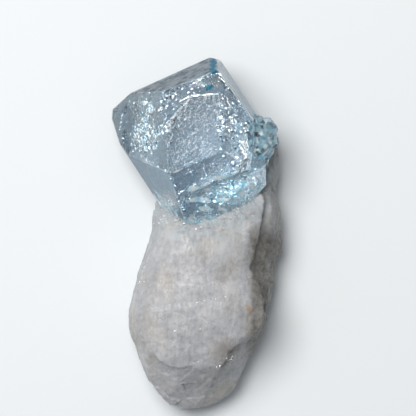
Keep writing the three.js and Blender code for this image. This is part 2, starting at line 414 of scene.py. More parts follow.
LONG_EDGE = 1.2 * MM
LARGE_FACE = 1.6 * MM * MM
FLAT_ANGLE = math.radians(0.6)
SMOOTH_ANGLE = math.radians(26.0)
CRAG_SEED = 2  # fixes which way each small cleavage face tilts
ROUNDED_TURN = math.radians(9.0)  # edges that turn by less stay sharp
NARROW_CORNER = 0.3  # sine of a corner too narrow or too flat for one side to be rounded
SMALLEST_EDGE = 0.0001 * MM
HALVINGS = 9  # rounds of splitting that refine a mesh
BLUNTING = 14  # rounds of smoothing that take the points off the cluster
CLEAR, ROUGH, VEIL, WORN_HIGHLIT, SHADE_MARK, BLUE, MILKY, SKY, HOLLOW, STAIN, STRIP_SHADE, PALE_SKIN = range(12)

# Faces of the crystal: azimuth and lean of the normal in degrees, the colour they let through
# and how frosted they are.
# The darker colours are painted shade: they make some faces darker by the way they face.
FACET_SHADES = [
    (114.3, 13.4, (0.24, 0.28, 0.33), 0.6),
    (33.5, 7.2, (0.24, 0.40, 0.52), 0.4),
    (-146.7, 16.8, (0.04, 0.20, 0.33), 0.0),
    (180.0, 30.0, (0.66, 0.76, 0.78), 0.0),
    (150.0, 26.0, (0.62, 0.72, 0.74), 0.0),
    (74.0, 6.0, (0.30, 0.44, 0.52), 0.6),
    (0.0, 90.0, (0.95, 0.965, 1.0), 0.0),
    (90.0, 70.3, (0.95, 0.97, 1.0), 0.0),
    (137.7, 52.0, (0.94, 0.97, 1.0), 0.0),
    (0.0, 52.0, (1.0, 1.0, 1.0), 0.08),
    (-65.3, 49.4, (0.80, 0.86, 0.94), 0.0),
    (-49.4, 37.0, (1.0, 1.0, 1.0), 0.06),
    (180.0, 62.5, (0.97, 0.99, 1.0), 0.0),
    (-177.8, 27.0, (0.68, 0.78, 0.81), 0.0),
    (-67.6, 8.0, (0.35, 0.42, 0.50), 0.0),
    (-45.0, 68.0, (0.80, 0.96, 1.0), 0.1),
    (0.0, 75.0, (0.8, 0.95, 1.0), 0.2),
]
OTHER_FACET = (0.88, 0.95, 0.98, 0.05)

# The back's colour is painted shade that darkens the crystal seen from the front, more so at
# the left: the colours at its left and right ends.
BACK_LEFT = (-3.0, (0.80, 0.87, 0.93))
BACK_RIGHT = (1.0, (0.88, 0.93, 0.985))
BACK_SLOPE = -0.3  # faces that look further down than this are the back
FACET_SPREAD = math.cos(math.radians(1.5))

# Where the crystal's colour gathers, through its whole depth: place along X and Y and reach
# in millimetres, strength and colour. The pink, cyan and yellow zones are a painted iridescent
# sheen.
DEEP_BLUE = (0.01, 0.27, 0.55)
SKY_BLUE = (0.45, 0.85, 1.0)
COLOUR_AND_SHEEN_ZONES = [
    (1.35, 14.4, 0.7, 0.8, DEEP_BLUE),
    (1.3, 13.6, 0.5, 0.6, DEEP_BLUE),
    # Painted iridescent sheen: the pink, cyan and yellow zones.
    (-0.3, 12.1, 0.8, 0.5, (0.97, 0.78, 1.0)),
    (0.5, 12.7, 0.7, 0.5, (0.72, 1.0, 0.96)),
    (1.6, 12.6, 0.7, 0.55, (1.0, 0.95, 0.68)),
    (0.9, 12.15, 0.4, 0.35, DEEP_BLUE),
    (0.03, 2.8, 0.5, 0.6, DEEP_BLUE),
    (1.3, 3.4, 0.5, 0.5, DEEP_BLUE),
    (3.2, 3.6, 2.8, 0.45, SKY_BLUE),
    (-2.4, 2.6, 1.3, 1.0, (0.95, 0.98, 1.0)),
]

SHADED_NOTCH = Vector((-5.1, 12.05)) * MM  # a chip in the upper left edge, painted dark as the shade inside it
SHADED_NOTCH_REACH = 0.17 * MM

# Blue that stains the surface, seen from above: the ends of a line and how far from the line
# the stain reaches, in millimetres.
STAINS = [
    (Vector((1.3, 13.5)), Vector((1.36, 14.75)), 0.34),
    (Vector((0.85, 12.05)), Vector((1.1, 12.15)), 0.3),
]
UPPER_LEFT = (114.3, 13.4)  # azimuth and lean of the strip above the front that gets painted shade
STRIP_SPREAD = 0.93  # how nearly a face of the strip looks that way
STRIP_SHADE_SHARE = 0.36  # share of the strip that gets dark matt patches of painted shade

# The rim under the top corner where the edges are worn white, partly as wear and partly as a
# painted highlight, seen from above.
UPPER_RIM = ((-0.7, 12.6), (0.75, 13.2), (1.75, 13.3), (2.1, 13.1), (3.4, 11.3), (4.8, 9.6))
RIM_CHIPS = 0.35  # how far from the rim the edges are white, in millimetres
LOWER_CHIPS = 7.5  # edges below this place along Y are chipped here and there

CLUSTER_RIM = 1.32  # where the cluster ends, against its reach
CLUSTER_FADE = 0.12
ROUGH_SHARE = 0.5  # surface with a greater share of the cluster has its finish
BLUNT_SHARE = 0.4

# Patches of the surface seen from above: middle, reach along X and Y in millimetres.
ROUGH_FRONT = (5.5, 8.1, 1.4, 1.95)  # where the cluster runs over the front
HILLOCKS = (-4.1, 9.6, 3.6, 4.0)
HILLOCKS_RIGHT = (3.6, 8.9, 1.7, 3.2)
SHELL_BREAK = (2.6, 3.2, 4.2, 2.5)
PATCH_FADE = 0.45  # share of a patch's reach over which it fades

# The broken face's curved ribs, in millimetres: the middle that they run round and their
# distance from each other. The face lies below a height.
SHELL_MIDDLE = Vector((1.6, -3.6, 9.0))
RIPPLE = 0.8
SHELL_TOP = 10.0
PALE_RIB = 0.9

# The foot of the crystal, where it has grown into the rock, seen from above.
SEAM_LINE = (
    (-3.5, 2.9), (-2.9, 2.3), (-2.3, 1.7), (-1.8, 0.9), (-0.6, 1.0),
    (0.7, 1.1), (2.3, 1.2), (3.5, 1.5), (4.6, 2.5), (5.7, 4.0),
)
OVERGROWTH = 0.75  # how far the pale skin climbs from the foot, in millimetres


def facing(azimuth, lean):
    """The direction with that azimuth and lean in degrees."""
    turn, rise = math.radians(azimuth), math.radians(lean)
    return Vector(
        (math.cos(rise) * math.cos(turn), math.cos(rise) * math.sin(turn), math.sin(rise))
    )


def shaded_back(x):
    """The painted shade of the crystal's back at a place along X, in millimetres."""
    (left, left_colour), (right, right_colour) = BACK_LEFT, BACK_RIGHT
    return Vector(left_colour).lerp(Vector(right_colour), held((x - left) / (right - left)))


def shade_facets(shape):
    """Stores each face's colour, which is painted shade on some faces, with its frosting as the
    alpha, before relief bends it.
    """
    facet_shade = shape.loops.layers.float_color.new("facet_shade")
    known = [
        (facing(azimuth, lean), (*colour, frost)) for azimuth, lean, colour, frost in FACET_SHADES
    ]
    for face in shape.faces:
        value = OTHER_FACET
        if face.normal.z < BACK_SLOPE:
            value = (*shaded_back(face.calc_center_median().x / MM), 0.0)
        for out, shade in known:
            if out.dot(face.normal) > FACET_SPREAD:
                value = shade
                break
        for loop in face.loops:
            loop[facet_shade] = value


def stretches(places):
    """The stretches of a path through some places: where each starts and ends."""
    corners = [Vector(place) for place in places]
    return list(zip(corners, corners[1:]))


def off_line(spot, first, second):
    """Distance of a place from the line between two others."""
    share = geometry.intersect_point_line(spot, first, second)[1]
    return (spot - first.lerp(second, held(share))).length


def off_path(spot, path):
    """Distance of a place from the nearest of a path's stretches."""
    return min(off_line(spot, first, second) for first, second in path)


def patch_share(mm, patch):
    """1 in the middle of a patch of the front, falling to 0 at its rim."""
    x, y, reach_x, reach_y = patch
    away = math.hypot((mm.x - x) / reach_x, (mm.y - y) / reach_y)
    share = held((1.0 - away) / PATCH_FADE)
    return share * share * (3.0 - 2.0 * share)


def broken_share(mm):
    """1 in the middle of the broken face, falling to 0 at its rim."""
    return patch_share(mm, SHELL_BREAK) if mm.z < SHELL_TOP else 0.0


def cluster_share(point):
    """1 on the side cluster and the front beside it, falling to 0 on the clear crystal."""
    if point.x > CLUSTER_TIPS:
        return 1.0
    offset = point - CLUSTER_MIDDLE
    away = Vector([a / b for a, b in zip(offset, CLUSTER_REACH)]).length
    if point.z > CLUSTER_MIDDLE.z:
        x, y, reach_x, reach_y = ROUGH_FRONT
        across = math.hypot((point.x / MM - x) / reach_x, (point.y / MM - y) / reach_y)
        away = min(away, CLUSTER_RIM * across)
    return held((CLUSTER_RIM - away) / CLUSTER_FADE)


def shell_wave(mm):
    """Height of the curved ribs of the broken face, from 0 between them to 1 along them."""
    reach = (mm - SHELL_MIDDLE).length + 0.35 * noise.noise(mm * 0.55)
    return abs(math.sin(math.pi * reach / RIPPLE)) ** 0.7


def growth_relief(point, normal):
    """How far the crystal's surface stands out at a point, along its normal."""
    mm = point / MM
    height = 0.010 * noise.fractal(mm * 0.8, 1.0, 2.0, 3)
    up = max(0.0, normal.z)
    hillocks = max(patch_share(mm, HILLOCKS), 0.6 * patch_share(mm, HILLOCKS_RIGHT)) * up
    if hillocks > 0.0:
        near = noise.voronoi(mm * 1.5)[0][0]
        fine = noise.voronoi(mm * 3.1)[0][0]
        height += hillocks * (0.07 * (0.45 - near) + 0.02 * (0.45 - fine))
    broken = broken_share(mm) * up
    if broken > 0.0:
        wave = shell_wave(mm)
        near = noise.voronoi(mm * 1.3)[0][0]
        height += broken * (0.042 * wave + 0.07 * (0.4 - near))
    grains = cluster_share(point)
    if grains > 0.0:
        height += grains * (craggy(mm, 0.7, 0.26) + craggy(mm, 0.34, 0.14))
    return height * MM


def refine(shape, limit):
    """Splits every edge longer than the limit, keeping the shape."""
    for _ in range(HALVINGS):
        bmesh.ops.dissolve_degenerate(shape, dist=SMALLEST_EDGE, edges=shape.edges)
        edges = [edge for edge in shape.edges if edge.calc_length() > limit]
        if not edges:
            return
        bmesh.ops.subdivide_edges(shape, edges=edges, cuts=1)
        bmesh.ops.triangulate(shape, faces=[f for f in shape.faces if len(f.verts) > 3])


def with_zones(tree, colour, zones):
    """Blends each zone's colour in, most strongly at the zone's middle."""
    inputs = {0: object_place(tree), 1: (1.0, 1.0, 0.0)}
    kind = "ShaderNodeVectorMath"
    level = node(tree, kind, inputs, operation="MULTIPLY").outputs["Vector"]
    for x, y, reach, strength, tint in zones:
        inputs = {0: level, 1: (x * MM, y * MM, 0.0)}
        away = node(tree, kind, inputs, operation="DISTANCE").outputs["Value"]
        near = rescale(tree, away, reach * MM, strength, 0.0, "SMOOTHSTEP")
        colour = blend(tree, near, colour, tint)
    return colour


def etch_pits(tree, per_millimetre, reach):
    """Scattered round pits: 1 outside them, 0 at their bottom."""
    away = cells(tree, (per_millimetre,) * 3).outputs["Distance"]
    return rescale(tree, away, reach, 0.0, 1.0, "SMOOTHSTEP")


def clear_euclase():
    """Glassy, faintly blue, with growth lines, etch pits, blue zones, a painted iridescent
    sheen and painted shade on some faces.
    """
    settings = bpy.context.scene.crystal_settings
    material, tree, shader = new_material("clear_euclase")
    broad = noise_factor(tree, (0.7, 0.7, 0.7), 4.0)
    clear = ramp(tree, broad, [(0.38, (0.84, 0.92, 0.97)), (0.62, (0.99, 0.99, 1.0))])
    facet_shade = stored(tree, "facet_shade")
    # The stored colour darkens some faces as painted shade.
    clear = blend(tree, 1.0, clear, facet_shade.outputs["Color"], "MULTIPLY")
    waves = bump(tree, noise_factor(tree, (2.2, 2.2, 2.2), 5.0), 0.03)
    pits = arithmetic(tree, "ADD", etch_pits(tree, 2.4, 0.36), etch_pits(tree, 5.1, 0.40))
    inputs = {
        "Base Color": with_zones(tree, clear, COLOUR_AND_SHEEN_ZONES),
        "Normal": bump(tree, pits, 0.045, waves),
        "Roughness": rescale(tree, facet_shade.outputs["Alpha"], 1.0, 0.012, 0.5),
        "IOR": settings.refraction,
        "Transmission Weight": 1.0,
    }
    feed(tree, shader, inputs)
    inputs = {"Color": (*settings.tint, 1.0), "Density": settings.depth_of_colour}
    body = node(tree, "ShaderNodeVolumeAbsorption", inputs).outputs["Volume"]
    feed(tree, tree.nodes["Material Output"], {"Volume": body})
    return material


def rough_euclase():
    """The side cluster: glassy grains, each of its own blue, some of them white or dark."""
    tint = bpy.context.scene.cluster_settings.tint
    material, tree, shader = new_material("rough_euclase")
    stops = [(0.0, 0.2), (0.22, 0.6), (0.5, 1.0), (0.72, 1.3)]
    stops = [(place, [min(1.0, part * light) for part in tint]) for place, light in stops]
    stops += [(0.86, (0.06, 0.36, 0.62)), (0.95, (0.62, 0.80, 0.88))]
    inputs = {
        "Base Color": ramp(tree, cell_shade(tree, (2.6, 2.6, 2.6)), stops),
        "Normal": bump(tree, noise_factor(tree, (5.0, 5.0, 5.0), 4.0), 0.05),
        "Roughness": 0.08,
        "IOR": bpy.context.scene.crystal_settings.refraction,
        "Transmission Weight": 0.45,
    }
    feed(tree, shader, inputs)
    return material


def bright_skin(name, first, second, roughness):
    """A silvery skin that wanders between two colours."""
    inputs = {"Metallic": 0.75, "Roughness": roughness}
    return mottled(name, 1.4, 3.0, (0.38, first), (0.58, second), inputs)


def two_shades(name, first, second, roughness, clearness):
    """A finish that wanders between two colours and lets some light through."""
    inputs = {"Roughness": roughness, "Transmission Weight": clearness}
    return mottled(name, 1.8, 3.0, (0.4, first), (0.6, second), inputs)


def dull_skin(name, first, second):
    """A matt skin that wanders between two colours."""
    inputs = {"Roughness": 0.6, "Specular IOR Level": 0.1}
    return mottled(name, 2.4, 4.0, (0.4, first), (0.6, second), inputs)


def hollow_film():
    """The glassy wall of a flat hollow, which flashes and mirrors what lies around it."""
    refraction = bpy.context.scene.crystal_settings.refraction
    inputs = {"Roughness": 0.03, "IOR": refraction, "Transmission Weight": 1.0}
    return mottled("hollow_film", 1.1, 2.0, (0.4, (0.86, 0.93, 1.0)), (0.6, WHITE), inputs)


def worn_highlit_edge():
    """The chipped, whitish skin along the crystal's edges: partly wear, partly a painted
    highlight.
    """
    refraction = bpy.context.scene.crystal_settings.refraction
    inputs = {"Roughness": 0.3, "IOR": refraction, "Transmission Weight": 0.4}
    return mottled("worn_highlit_edge", 1.5, 4.0, (0.42, (0.55, 0.66, 0.74)), (0.6, WHITE), inputs)


def is_worn_highlit(mm, rim):
    """Whether an edge is white at a place, partly worn and partly a painted highlight, as all
    of the front's upper rim is.
    """
    chips = noise.noise(mm * 0.9) + 0.4 * noise.noise(mm * 3.1)
    return off_path(mm.xy, rim) < RIM_CHIPS or (chips > 0.3 and mm.y < LOWER_CHIPS)


def is_stained(mm, dice):
    """Whether the blue stain shows at a place, less and less often away from its line."""
    return any(
        off_line(mm.xy, first, second) < reach * dice.uniform(0.3, 1.0)
        for first, second, reach in STAINS
    )


def is_pale(mm, normal, foot, dice):
    """Whether the surface is whitish: along the broken face's ribs and over the foot."""
    if normal.z < 0.1:
        return False
    rib = shell_wave(mm) + 0.5 * noise.noise(mm * 1.1)
    if broken_share(mm) > 0.3 and rib > PALE_RIB and dice.random() < 0.9:
        return True
    climb = OVERGROWTH * (0.9 + noise.noise(mm * 1.7))
    return off_path(mm.xy, foot) < climb * dice.random()


def gets_strip_shade(mm, normal, dice):
    """Whether the strip above the front gets a dark matt patch of painted shade at a place."""
    share = STRIP_SHADE_SHARE + 1.1 * noise.noise(mm * 1.3)
    return facing(*UPPER_LEFT).dot(normal) > STRIP_SPREAD and dice.random() < share


def overshoots(edge, worn):
    """Whether rounding an edge would slide one of its ends far along an edge left as it is."""
    for face in edge.link_faces:
        for loop in face.loops:
            pair = {loop.edge, loop.link_loop_prev.edge}
            if edge in pair and len(pair & worn) == 1:
                if math.sin(loop.calc_angle()) < NARROW_CORNER:
                    return True
    return False


def wear_edges(shape, width):
    """Rounds the long edges between the crystal's large faces."""
    edges = {
        edge
        for edge in shape.edges
        if edge.calc_length() > LONG_EDGE
        and len(edge.link_faces) == 2
        and edge.calc_face_angle() > ROUNDED_TURN
        and all(face.calc_area() > LARGE_FACE for face in edge.link_faces)
    }
    while spoilt := {edge for edge in edges if overshoots(edge, edges)}:
        edges -= spoilt
    worn = bmesh.ops.bevel(
        shape,
        geom=sorted(edges, key=lambda edge: edge.index),
        offset=width,
        offset_type="OFFSET",
        affect="EDGES",
        segments=2,
        profile=0.5,
        material=-1,
        clamp_overlap=False,
    )
    # The upward faces of the rounding get the white finish: partly wear, partly a painted
    # highlight.
    for face in worn["faces"]:
        if face.normal.z > 0.0:
            face.material_index = WORN_HIGHLIT


class SPECIMEN_OT_grow_crystal(bpy.types.Operator):
    """Makes the clear crystal from its solid, with worn edges that are partly a painted
    highlight, painted shade on some faces, and growth relief
    """

    bl_idname = "specimen.grow_crystal"
    bl_label = "Grow Crystal"

    def execute(self, context):
        settings = context.scene.crystal_settings
        noise.seed_set(CRAG_SEED)
        shape = copy_of_solid(CRYSTAL_NODE)
        bmesh.ops.dissolve_limit(
            shape, angle_limit=FLAT_ANGLE, verts=shape.verts, edges=shape.edges
        )
        wear_edges(shape, settings.edge_wear)
        shape = renewed(shape)
        bmesh.ops.triangulate(shape, faces=shape.faces)
        refine(shape, settings.fineness)
        shade_facets(shape)
        for _ in range(BLUNTING):
            smooth(shape, [v for v in shape.verts if cluster_share(v.co) > BLUNT_SHARE])
        shape.normal_update()
        moves = [growth_relief(vertex.co, vertex.normal) for vertex in shape.verts]
        for vertex, height in zip(shape.verts, moves):
            vertex.co += vertex.normal * height
            vertex.co.z = min(vertex.co.z, CRYSTAL_HIGH.z)
        dice = random.Random(3)
        rim, foot = stretches(UPPER_RIM), stretches(SEAM_LINE)
        for face in shape.faces:
            place = face.calc_center_median()
            mm = place / MM
            face.smooth = cluster_share(place) <= ROUGH_SHARE
            if not face.smooth:
                face.material_index = ROUGH
            # The chip's faces get the dark finish as painted shade.
            elif (place.xy - SHADED_NOTCH).length < SHADED_NOTCH_REACH:
                face.material_index = SHADE_MARK
            elif face.normal.z > 0.0 and is_stained(mm, dice):
                face.material_index = STAIN
            elif gets_strip_shade(mm, face.normal, dice):
                face.material_index = STRIP_SHADE
            elif is_pale(mm, face.normal, foot, dice):
                face.material_index = PALE_SKIN
            elif face.material_index == WORN_HIGHLIT and not is_worn_highlit(mm, rim):
                face.material_index = CLEAR
        materials = [
            clear_euclase(),
            rough_euclase(),
            bright_skin("silver_veil", (0.72, 0.86, 0.95), WHITE, 0.22),
            # The white edge finish: partly wear, partly a painted highlight.
            worn_highlit_edge(),
            # The dark finish: painted shade, for the dark specks, lines and chip in the
            # crystal.
            two_shades("painted_shade_cleft", (0.01, 0.04, 0.09), (0.06, 0.14, 0.22), 0.15, 0.0),
            two_shades("blue_flash", (0.02, 0.20, 0.42), (0.10, 0.40, 0.62), 0.2, 0.0),
            two_shades("milky_veil", (0.84, 0.91, 1.0), (0.98, 0.98, 1.0), 0.5, 0.2),
            bright_skin("sky_veil", (0.36, 0.74, 0.92), (0.80, 0.95, 1.0), 0.3),
            hollow_film(),
            dull_skin("blue_stain", (0.014, 0.10, 0.18), (0.05, 0.22, 0.32)),
            # The strip's dark matt patches: painted shade.
            dull_skin("shaded_strip", (0.09, 0.125, 0.165), (0.17, 0.22, 0.27)),
            two_shades("pale_skin", (0.45, 0.82, 0.97), (0.90, 0.98, 1.0), 0.2, 0.35),
        ]
        piece = make_piece(CRYSTAL_PIECE, shape, materials, CRYSTAL_NODE)
        piece.data.set_sharp_from_angle(angle=SMOOTH_ANGLE)
        return {"FINISHED"}


# ---------------------------------------------------------------- veils

# What a veil's flakes are made of, with the share of each; the dark flakes are painted shade.
GLITTER = {VEIL: 0.94, BLUE: 0.03, SHADE_MARK: 0.03}
SPARKLE = {VEIL: 0.60, HOLLOW: 0.28, BLUE: 0.05, SHADE_MARK: 0.07}
HAZE = {MILKY: 0.40, HOLLOW: 0.50, VEIL: 0.10}
PALE = {SKY: 0.34, VEIL: 0.30, HOLLOW: 0.36}
SHELL = {SKY: 0.62, VEIL: 0.28, HOLLOW: 0.06, BLUE: 0.04}
BLUES = {BLUE: 1.0}
SHADE_MARKS = {SHADE_MARK: 1.0}

# Each veil, seen from above: middle, reach along X and Y, depth under the front, all in
# millimetres, number of flakes, size against the usual one and what they are made of.
VEILS = [
    (-4.4, 11.05, 0.2, 0.25, 0.5, 20, 1.8, GLITTER),
    (-4.8, 8.2, 0.6, 0.8, 0.5, 760, 1.25, GLITTER),
    (-3.5, 8.05, 0.16, 0.4, 0.5, 90, 1.5, GLITTER),
    (-4.1, 8.5, 0.9, 1.0, 0.7, 560, 1.3, GLITTER),
    (-3.45, 7.4, 0.16, 0.16, 0.5, 26, 1.5, GLITTER),
    (-4.3, 7.2, 0.22, 0.16, 0.5, 30, 1.5, GLITTER),
    (-4.3, 9.0, 0.95, 1.8, 0.8, 520, 0.8, GLITTER),
    (-4.2, 8.9, 1.0, 1.8, 1.0, 520, 1.0, SPARKLE),
    (-2.8, 11.2, 2.0, 1.0, 0.8, 110, 0.8, GLITTER),
    (-2.6, 11.3, 2.2, 1.0, 0.9, 420, 1.0, SPARKLE),
    (-5.9, 9.2, 0.6, 1.6, 0.6, 80, 0.9, HAZE),
    (3.2, 9.1, 1.1, 2.3, 0.8, 560, 1.0, PALE),
    (2.5, 9.9, 0.8, 1.3, 0.8, 240, 0.9, GLITTER),
    (0.5, 12.4, 1.3, 0.4, 0.35, 300, 1.2, HAZE),
    (0.4, 12.35, 1.3, 0.35, 0.35, 190, 0.6, PALE),
    (-5.6, 10.9, 0.45, 0.35, 0.5, 80, 1.1, SPARKLE),
    (1.2, 5.1, 1.9, 0.8, 0.6, 420, 0.6, GLITTER),
    (3.4, 8.8, 0.9, 2.2, 1.0, 420, 1.0, SPARKLE),
    (-3.4, 12.4, 1.6, 0.5, 0.9, 260, 1.0, SPARKLE),
    (-1.4, 13.4, 1.6, 0.5, 0.9, 90, 0.9, HAZE),
    (4.0, 7.2, 0.4, 1.0, 0.6, 130, 1.5, GLITTER),
    (3.7, 5.7, 0.5, 0.4, 0.5, 120, 1.8, GLITTER),
    (-0.5, 5.2, 0.16, 0.16, 0.4, 14, 1.6, GLITTER),
    (-0.2, 4.15, 0.16, 0.3, 0.4, 24, 1.7, GLITTER),
    (2.6, 3.75, 1.9, 1.0, 0.3, 1500, 0.75, SHELL),
    (4.4, 3.9, 1.3, 1.1, 0.3, 1050, 0.75, SHELL),
    (3.2, 3.9, 1.6, 0.8, 0.4, 260, 0.9, GLITTER),
    (0.4, 2.6, 1.1, 0.9, 0.8, 170, 1.1, PALE),
    (-2.1, 2.8, 1.3, 1.0, 0.8, 320, 1.1, PALE),
    (-2.5, 2.5, 1.0, 0.7, 0.5, 160, 1.0, GLITTER),
    (1.75, 1.5, 0.9, 0.4, 0.5, 90, 1.6, SPARKLE),
    (-2.7, 1.6, 0.9, 0.5, 0.5, 90, 1.6, SPARKLE),
    (-0.4, 9.0, 2.2, 2.6, 2.0, 360, 0.6, HAZE),
    (-0.2, 5.8, 2.0, 1.0, 1.2, 200, 0.8, HAZE),
    (1.15, 14.1, 0.14, 0.55, 0.5, 60, 1.5, BLUES),
    (1.25, 3.75, 0.12, 0.1, 0.3, 14, 1.4, BLUES),
    (1.25, 3.0, 0.12, 0.14, 0.3, 16, 1.4, BLUES),
    (0.05, 2.8, 0.2, 0.12, 0.3, 16, 1.4, BLUES),
    (-3.35, 8.65, 0.2, 0.14, 0.4, 16, 1.3, BLUES),
    (-4.2, 7.65, 0.14, 0.14, 0.4, 12, 1.2, BLUES),
    # The dark veils are spots of painted shade.
    (-5.1, 12.05, 0.12, 0.12, 0.4, 16, 1.3, SHADE_MARKS),
    (-4.95, 11.25, 0.16, 0.12, 0.4, 10, 1.0, SHADE_MARKS),
    (-3.8, 9.75, 0.08, 0.14, 0.4, 7, 1.0, SHADE_MARKS),
    (-3.95, 9.05, 0.16, 0.06, 0.4, 7, 1.0, SHADE_MARKS),
    (-3.8, 7.3, 0.1, 0.1, 0.4, 7, 1.0, SHADE_MARKS),
    (2.35, 12.2, 0.2, 0.5, 0.4, 22, 1.3, SHADE_MARKS),
]
CLOSE, AIMED, STRAY = 0.05, 0.09, 0.2  # how far flakes tilt from where they would flash
PATCHINESS = 0.1  # the higher, the more of a veil is left between its bare patches
GATHERING = 0.6  # how closely a veil's flakes gather round its middle, against its reach
FLAKE_TOP = 0.08  # least depth of a flake under the front, in millimetres
FLAKE_CLEARANCE = 0.02 * MM  # from a flake's tip to the crystal's surface

# Lines inside the front, each a string of splinters: finish, width of the string, length of
# a splinter, splinters per millimetre and the places that it runs through. The dark strings are
# painted shade along cracks and edges.
STRINGS = [
    (VEIL, 0.04, 0.5, 11, ((-0.7, 12.6), (0.75, 13.2), (1.75, 13.3), (2.1, 13.1), (4.8, 9.6))),
    (VEIL, 0.03, 0.4, 8, ((-0.5, 12.35), (0.75, 13.0), (1.75, 13.1), (2.0, 12.9), (4.5, 9.6))),
    (SHADE_MARK, 0.02, 0.3, 3, ((-0.6, 12.5), (0.75, 13.1), (1.75, 13.2), (2.05, 13.0), (4.6, 9.6))),
    (VEIL, 0.05, 0.3, 9, ((4.8, 9.6), (4.6, 9.05), (4.2, 8.05), (4.35, 7.1), (4.45, 6.45))),
    (VEIL, 0.05, 0.5, 16, ((3.25, 5.3), (3.85, 5.8), (4.35, 6.35))),
    (VEIL, 0.04, 0.5, 16, ((3.5, 5.15), (4.1, 5.7), (4.45, 6.2))),
    (VEIL, 0.05, 0.4, 14, ((3.0, 5.45), (3.6, 5.95), (4.2, 6.55))),
    (SHADE_MARK, 0.02, 0.35, 6, ((3.4, 5.3), (3.95, 5.75), (4.4, 6.25))),
    (SHADE_MARK, 0.02, 0.35, 6, ((3.1, 5.4), (3.7, 5.85), (4.25, 6.4))),
    (VEIL, 0.05, 0.4, 8, ((0.25, 4.0), (1.25, 4.5), (2.4, 5.0), (3.4, 5.45))),
    (SHADE_MARK, 0.04, 0.4, 6, ((0.25, 3.75), (1.25, 4.25), (2.4, 4.75), (3.6, 5.2))),
    (SHADE_MARK, 0.03, 0.4, 4, ((0.35, 3.9), (1.3, 4.4), (2.4, 4.9), (3.5, 5.3))),
    (VEIL, 0.03, 0.3, 9, ((0.3, 3.75), (-0.4, 3.35), (-0.75, 2.85))),
    (
        VEIL, 0.06, 0.4, 7,
        ((-4.8, 6.85), (-3.95, 6.05), (-2.45, 5.2), (-1.85, 4.2), (-1.2, 2.9)),
    ),
    (VEIL, 0.04, 0.5, 18, ((3.85, 1.95), (4.6, 2.7), (5.1, 3.35), (5.7, 4.0))),
    (
        VEIL, 0.17, 0.36, 84,
        ((-3.6, 10.7), (-3.95, 10.5), (-4.2, 10.0), (-4.4, 9.4), (-4.3, 9.0)),
    ),
    (VEIL, 0.08, 0.25, 20, ((-2.5, 9.9), (-2.8, 9.3), (-2.85, 8.5))),
    (VEIL, 0.02, 0.3, 8, ((-6.3, 10.4), (-6.55, 8.8))),
    (VEIL, 0.03, 0.35, 12, ((-1.4, 11.0), (-0.5, 11.45), (2.1, 11.62))),
    (VEIL, 0.03, 0.3, 5, ((-5.4, 8.3), (-5.65, 6.8))),
    (VEIL, 0.08, 0.45, 13, ((1.4, 4.0), (2.25, 4.3), (3.25, 4.5), (4.25, 4.5), (5.1, 4.25))),
    (VEIL, 0.07, 0.45, 11, ((1.6, 3.6), (2.6, 3.5), (3.6, 3.6), (4.6, 3.95), (5.45, 4.2))),
    (VEIL, 0.08, 0.4, 11, ((2.1, 3.2), (3.1, 3.1), (4.1, 3.35), (4.95, 3.75))),
    (VEIL, 0.08, 0.4, 8, ((1.75, 2.7), (2.75, 2.6), (3.75, 2.75), (4.6, 3.25))),
    (VEIL, 0.06, 0.4, 8, ((2.75, 4.85), (3.85, 4.95), (4.85, 4.75))),
    (SHADE_MARK, 0.04, 0.4, 7, ((2.25, 3.9), (3.1, 3.7), (4.1, 3.8), (4.95, 4.05))),
    (SHADE_MARK, 0.04, 0.25, 9, ((4.1, 3.1), (4.45, 3.7))),
    (SHADE_MARK, 0.06, 0.35, 22, ((2.25, 12.7), (2.9, 11.7))),
    (SHADE_MARK, 0.03, 0.3, 7, ((2.6, 12.4), (3.2, 11.4))),
]
SPLINTER_WIDTH = 0.1 * MM
SPLINTER_DEPTH = (0.04, 0.12)  # under the front, in millimetres
FLATNESS = 0.08  # thickness of a flake or splinter against its width


def bent(way, normal):
    """The direction that a ray takes once it has entered the crystal."""
    ratio = 1.0 / bpy.context.scene.crystal_settings.refraction
    straight = -way.dot(normal)
    rest = math.sqrt(1.0 - ratio * ratio * (1.0 - straight * straight))
    return (ratio * way + (ratio * straight - rest) * normal).normalized()


def above(spot):
    """A place well above the specimen, over a place given in millimetres."""
    return Vector((spot.x * MM, spot.y * MM, CRYSTAL_HIGH.z + MM))


def front_at(solid, spot):
    """The front under a place seen from above, in millimetres: the point, its normal, the
    way inwards, and the normal that a flake there needs to flash in the key light."""
    front, normal, _, _ = solid.ray_cast(above(spot), DOWN)
    if front is None:
        return None
    inwards = bent(DOWN, normal)
    from_key = (front - KEY_PLACE).normalized()
    flash = -inwards
    if from_key.dot(normal) < 0.0:
        flash = (-inwards - bent(from_key, normal)).normalized()
    return front, normal, inwards, flash


class Scatter:
    """Gathers many small copies of a few shapes into a single mesh."""

    def __init__(self, make_shape, dice, kinds):
        self.dice = dice
        self.kinds = []
        for _ in range(kinds):
            shape = bmesh.new()
            make_shape(shape, dice)
            shape.verts.index_update()
            corners = [vertex.co.copy() for vertex in shape.verts]
            sides = [[vertex.index for vertex in face.verts] for face in shape.faces]
            self.kinds.append((corners, sides))
            shape.free()
        self.points, self.faces, self.finishes = [], [], []

    def add(self, matrix, finish, inwards=False):
        """Gathers one copy, set in place by a matrix; a hollow's faces look inwards."""
        corners, sides = self.dice.choice(self.kinds)
        start = len(self.points)
        self.points.extend(matrix @ corner for corner in corners)
        for side in sides:
            face = [start + index for index in side]
            self.faces.append(face[::-1] if inwards else face)
            self.finishes.append(finish)

    def join(self, piece):
        """Adds the gathered copies to a piece's mesh."""
        extra = bpy.data.meshes.new("scatter")
        extra.from_pydata(self.points, [], self.faces)
        extra.polygons.foreach_set("material_index", self.finishes)
        shape = bmesh.new()
        shape.from_mesh(piece.data)
        shape.from_mesh(extra)
        shape.to_mesh(piece.data)
        shape.free()
        bpy.data.meshes.remove(extra)


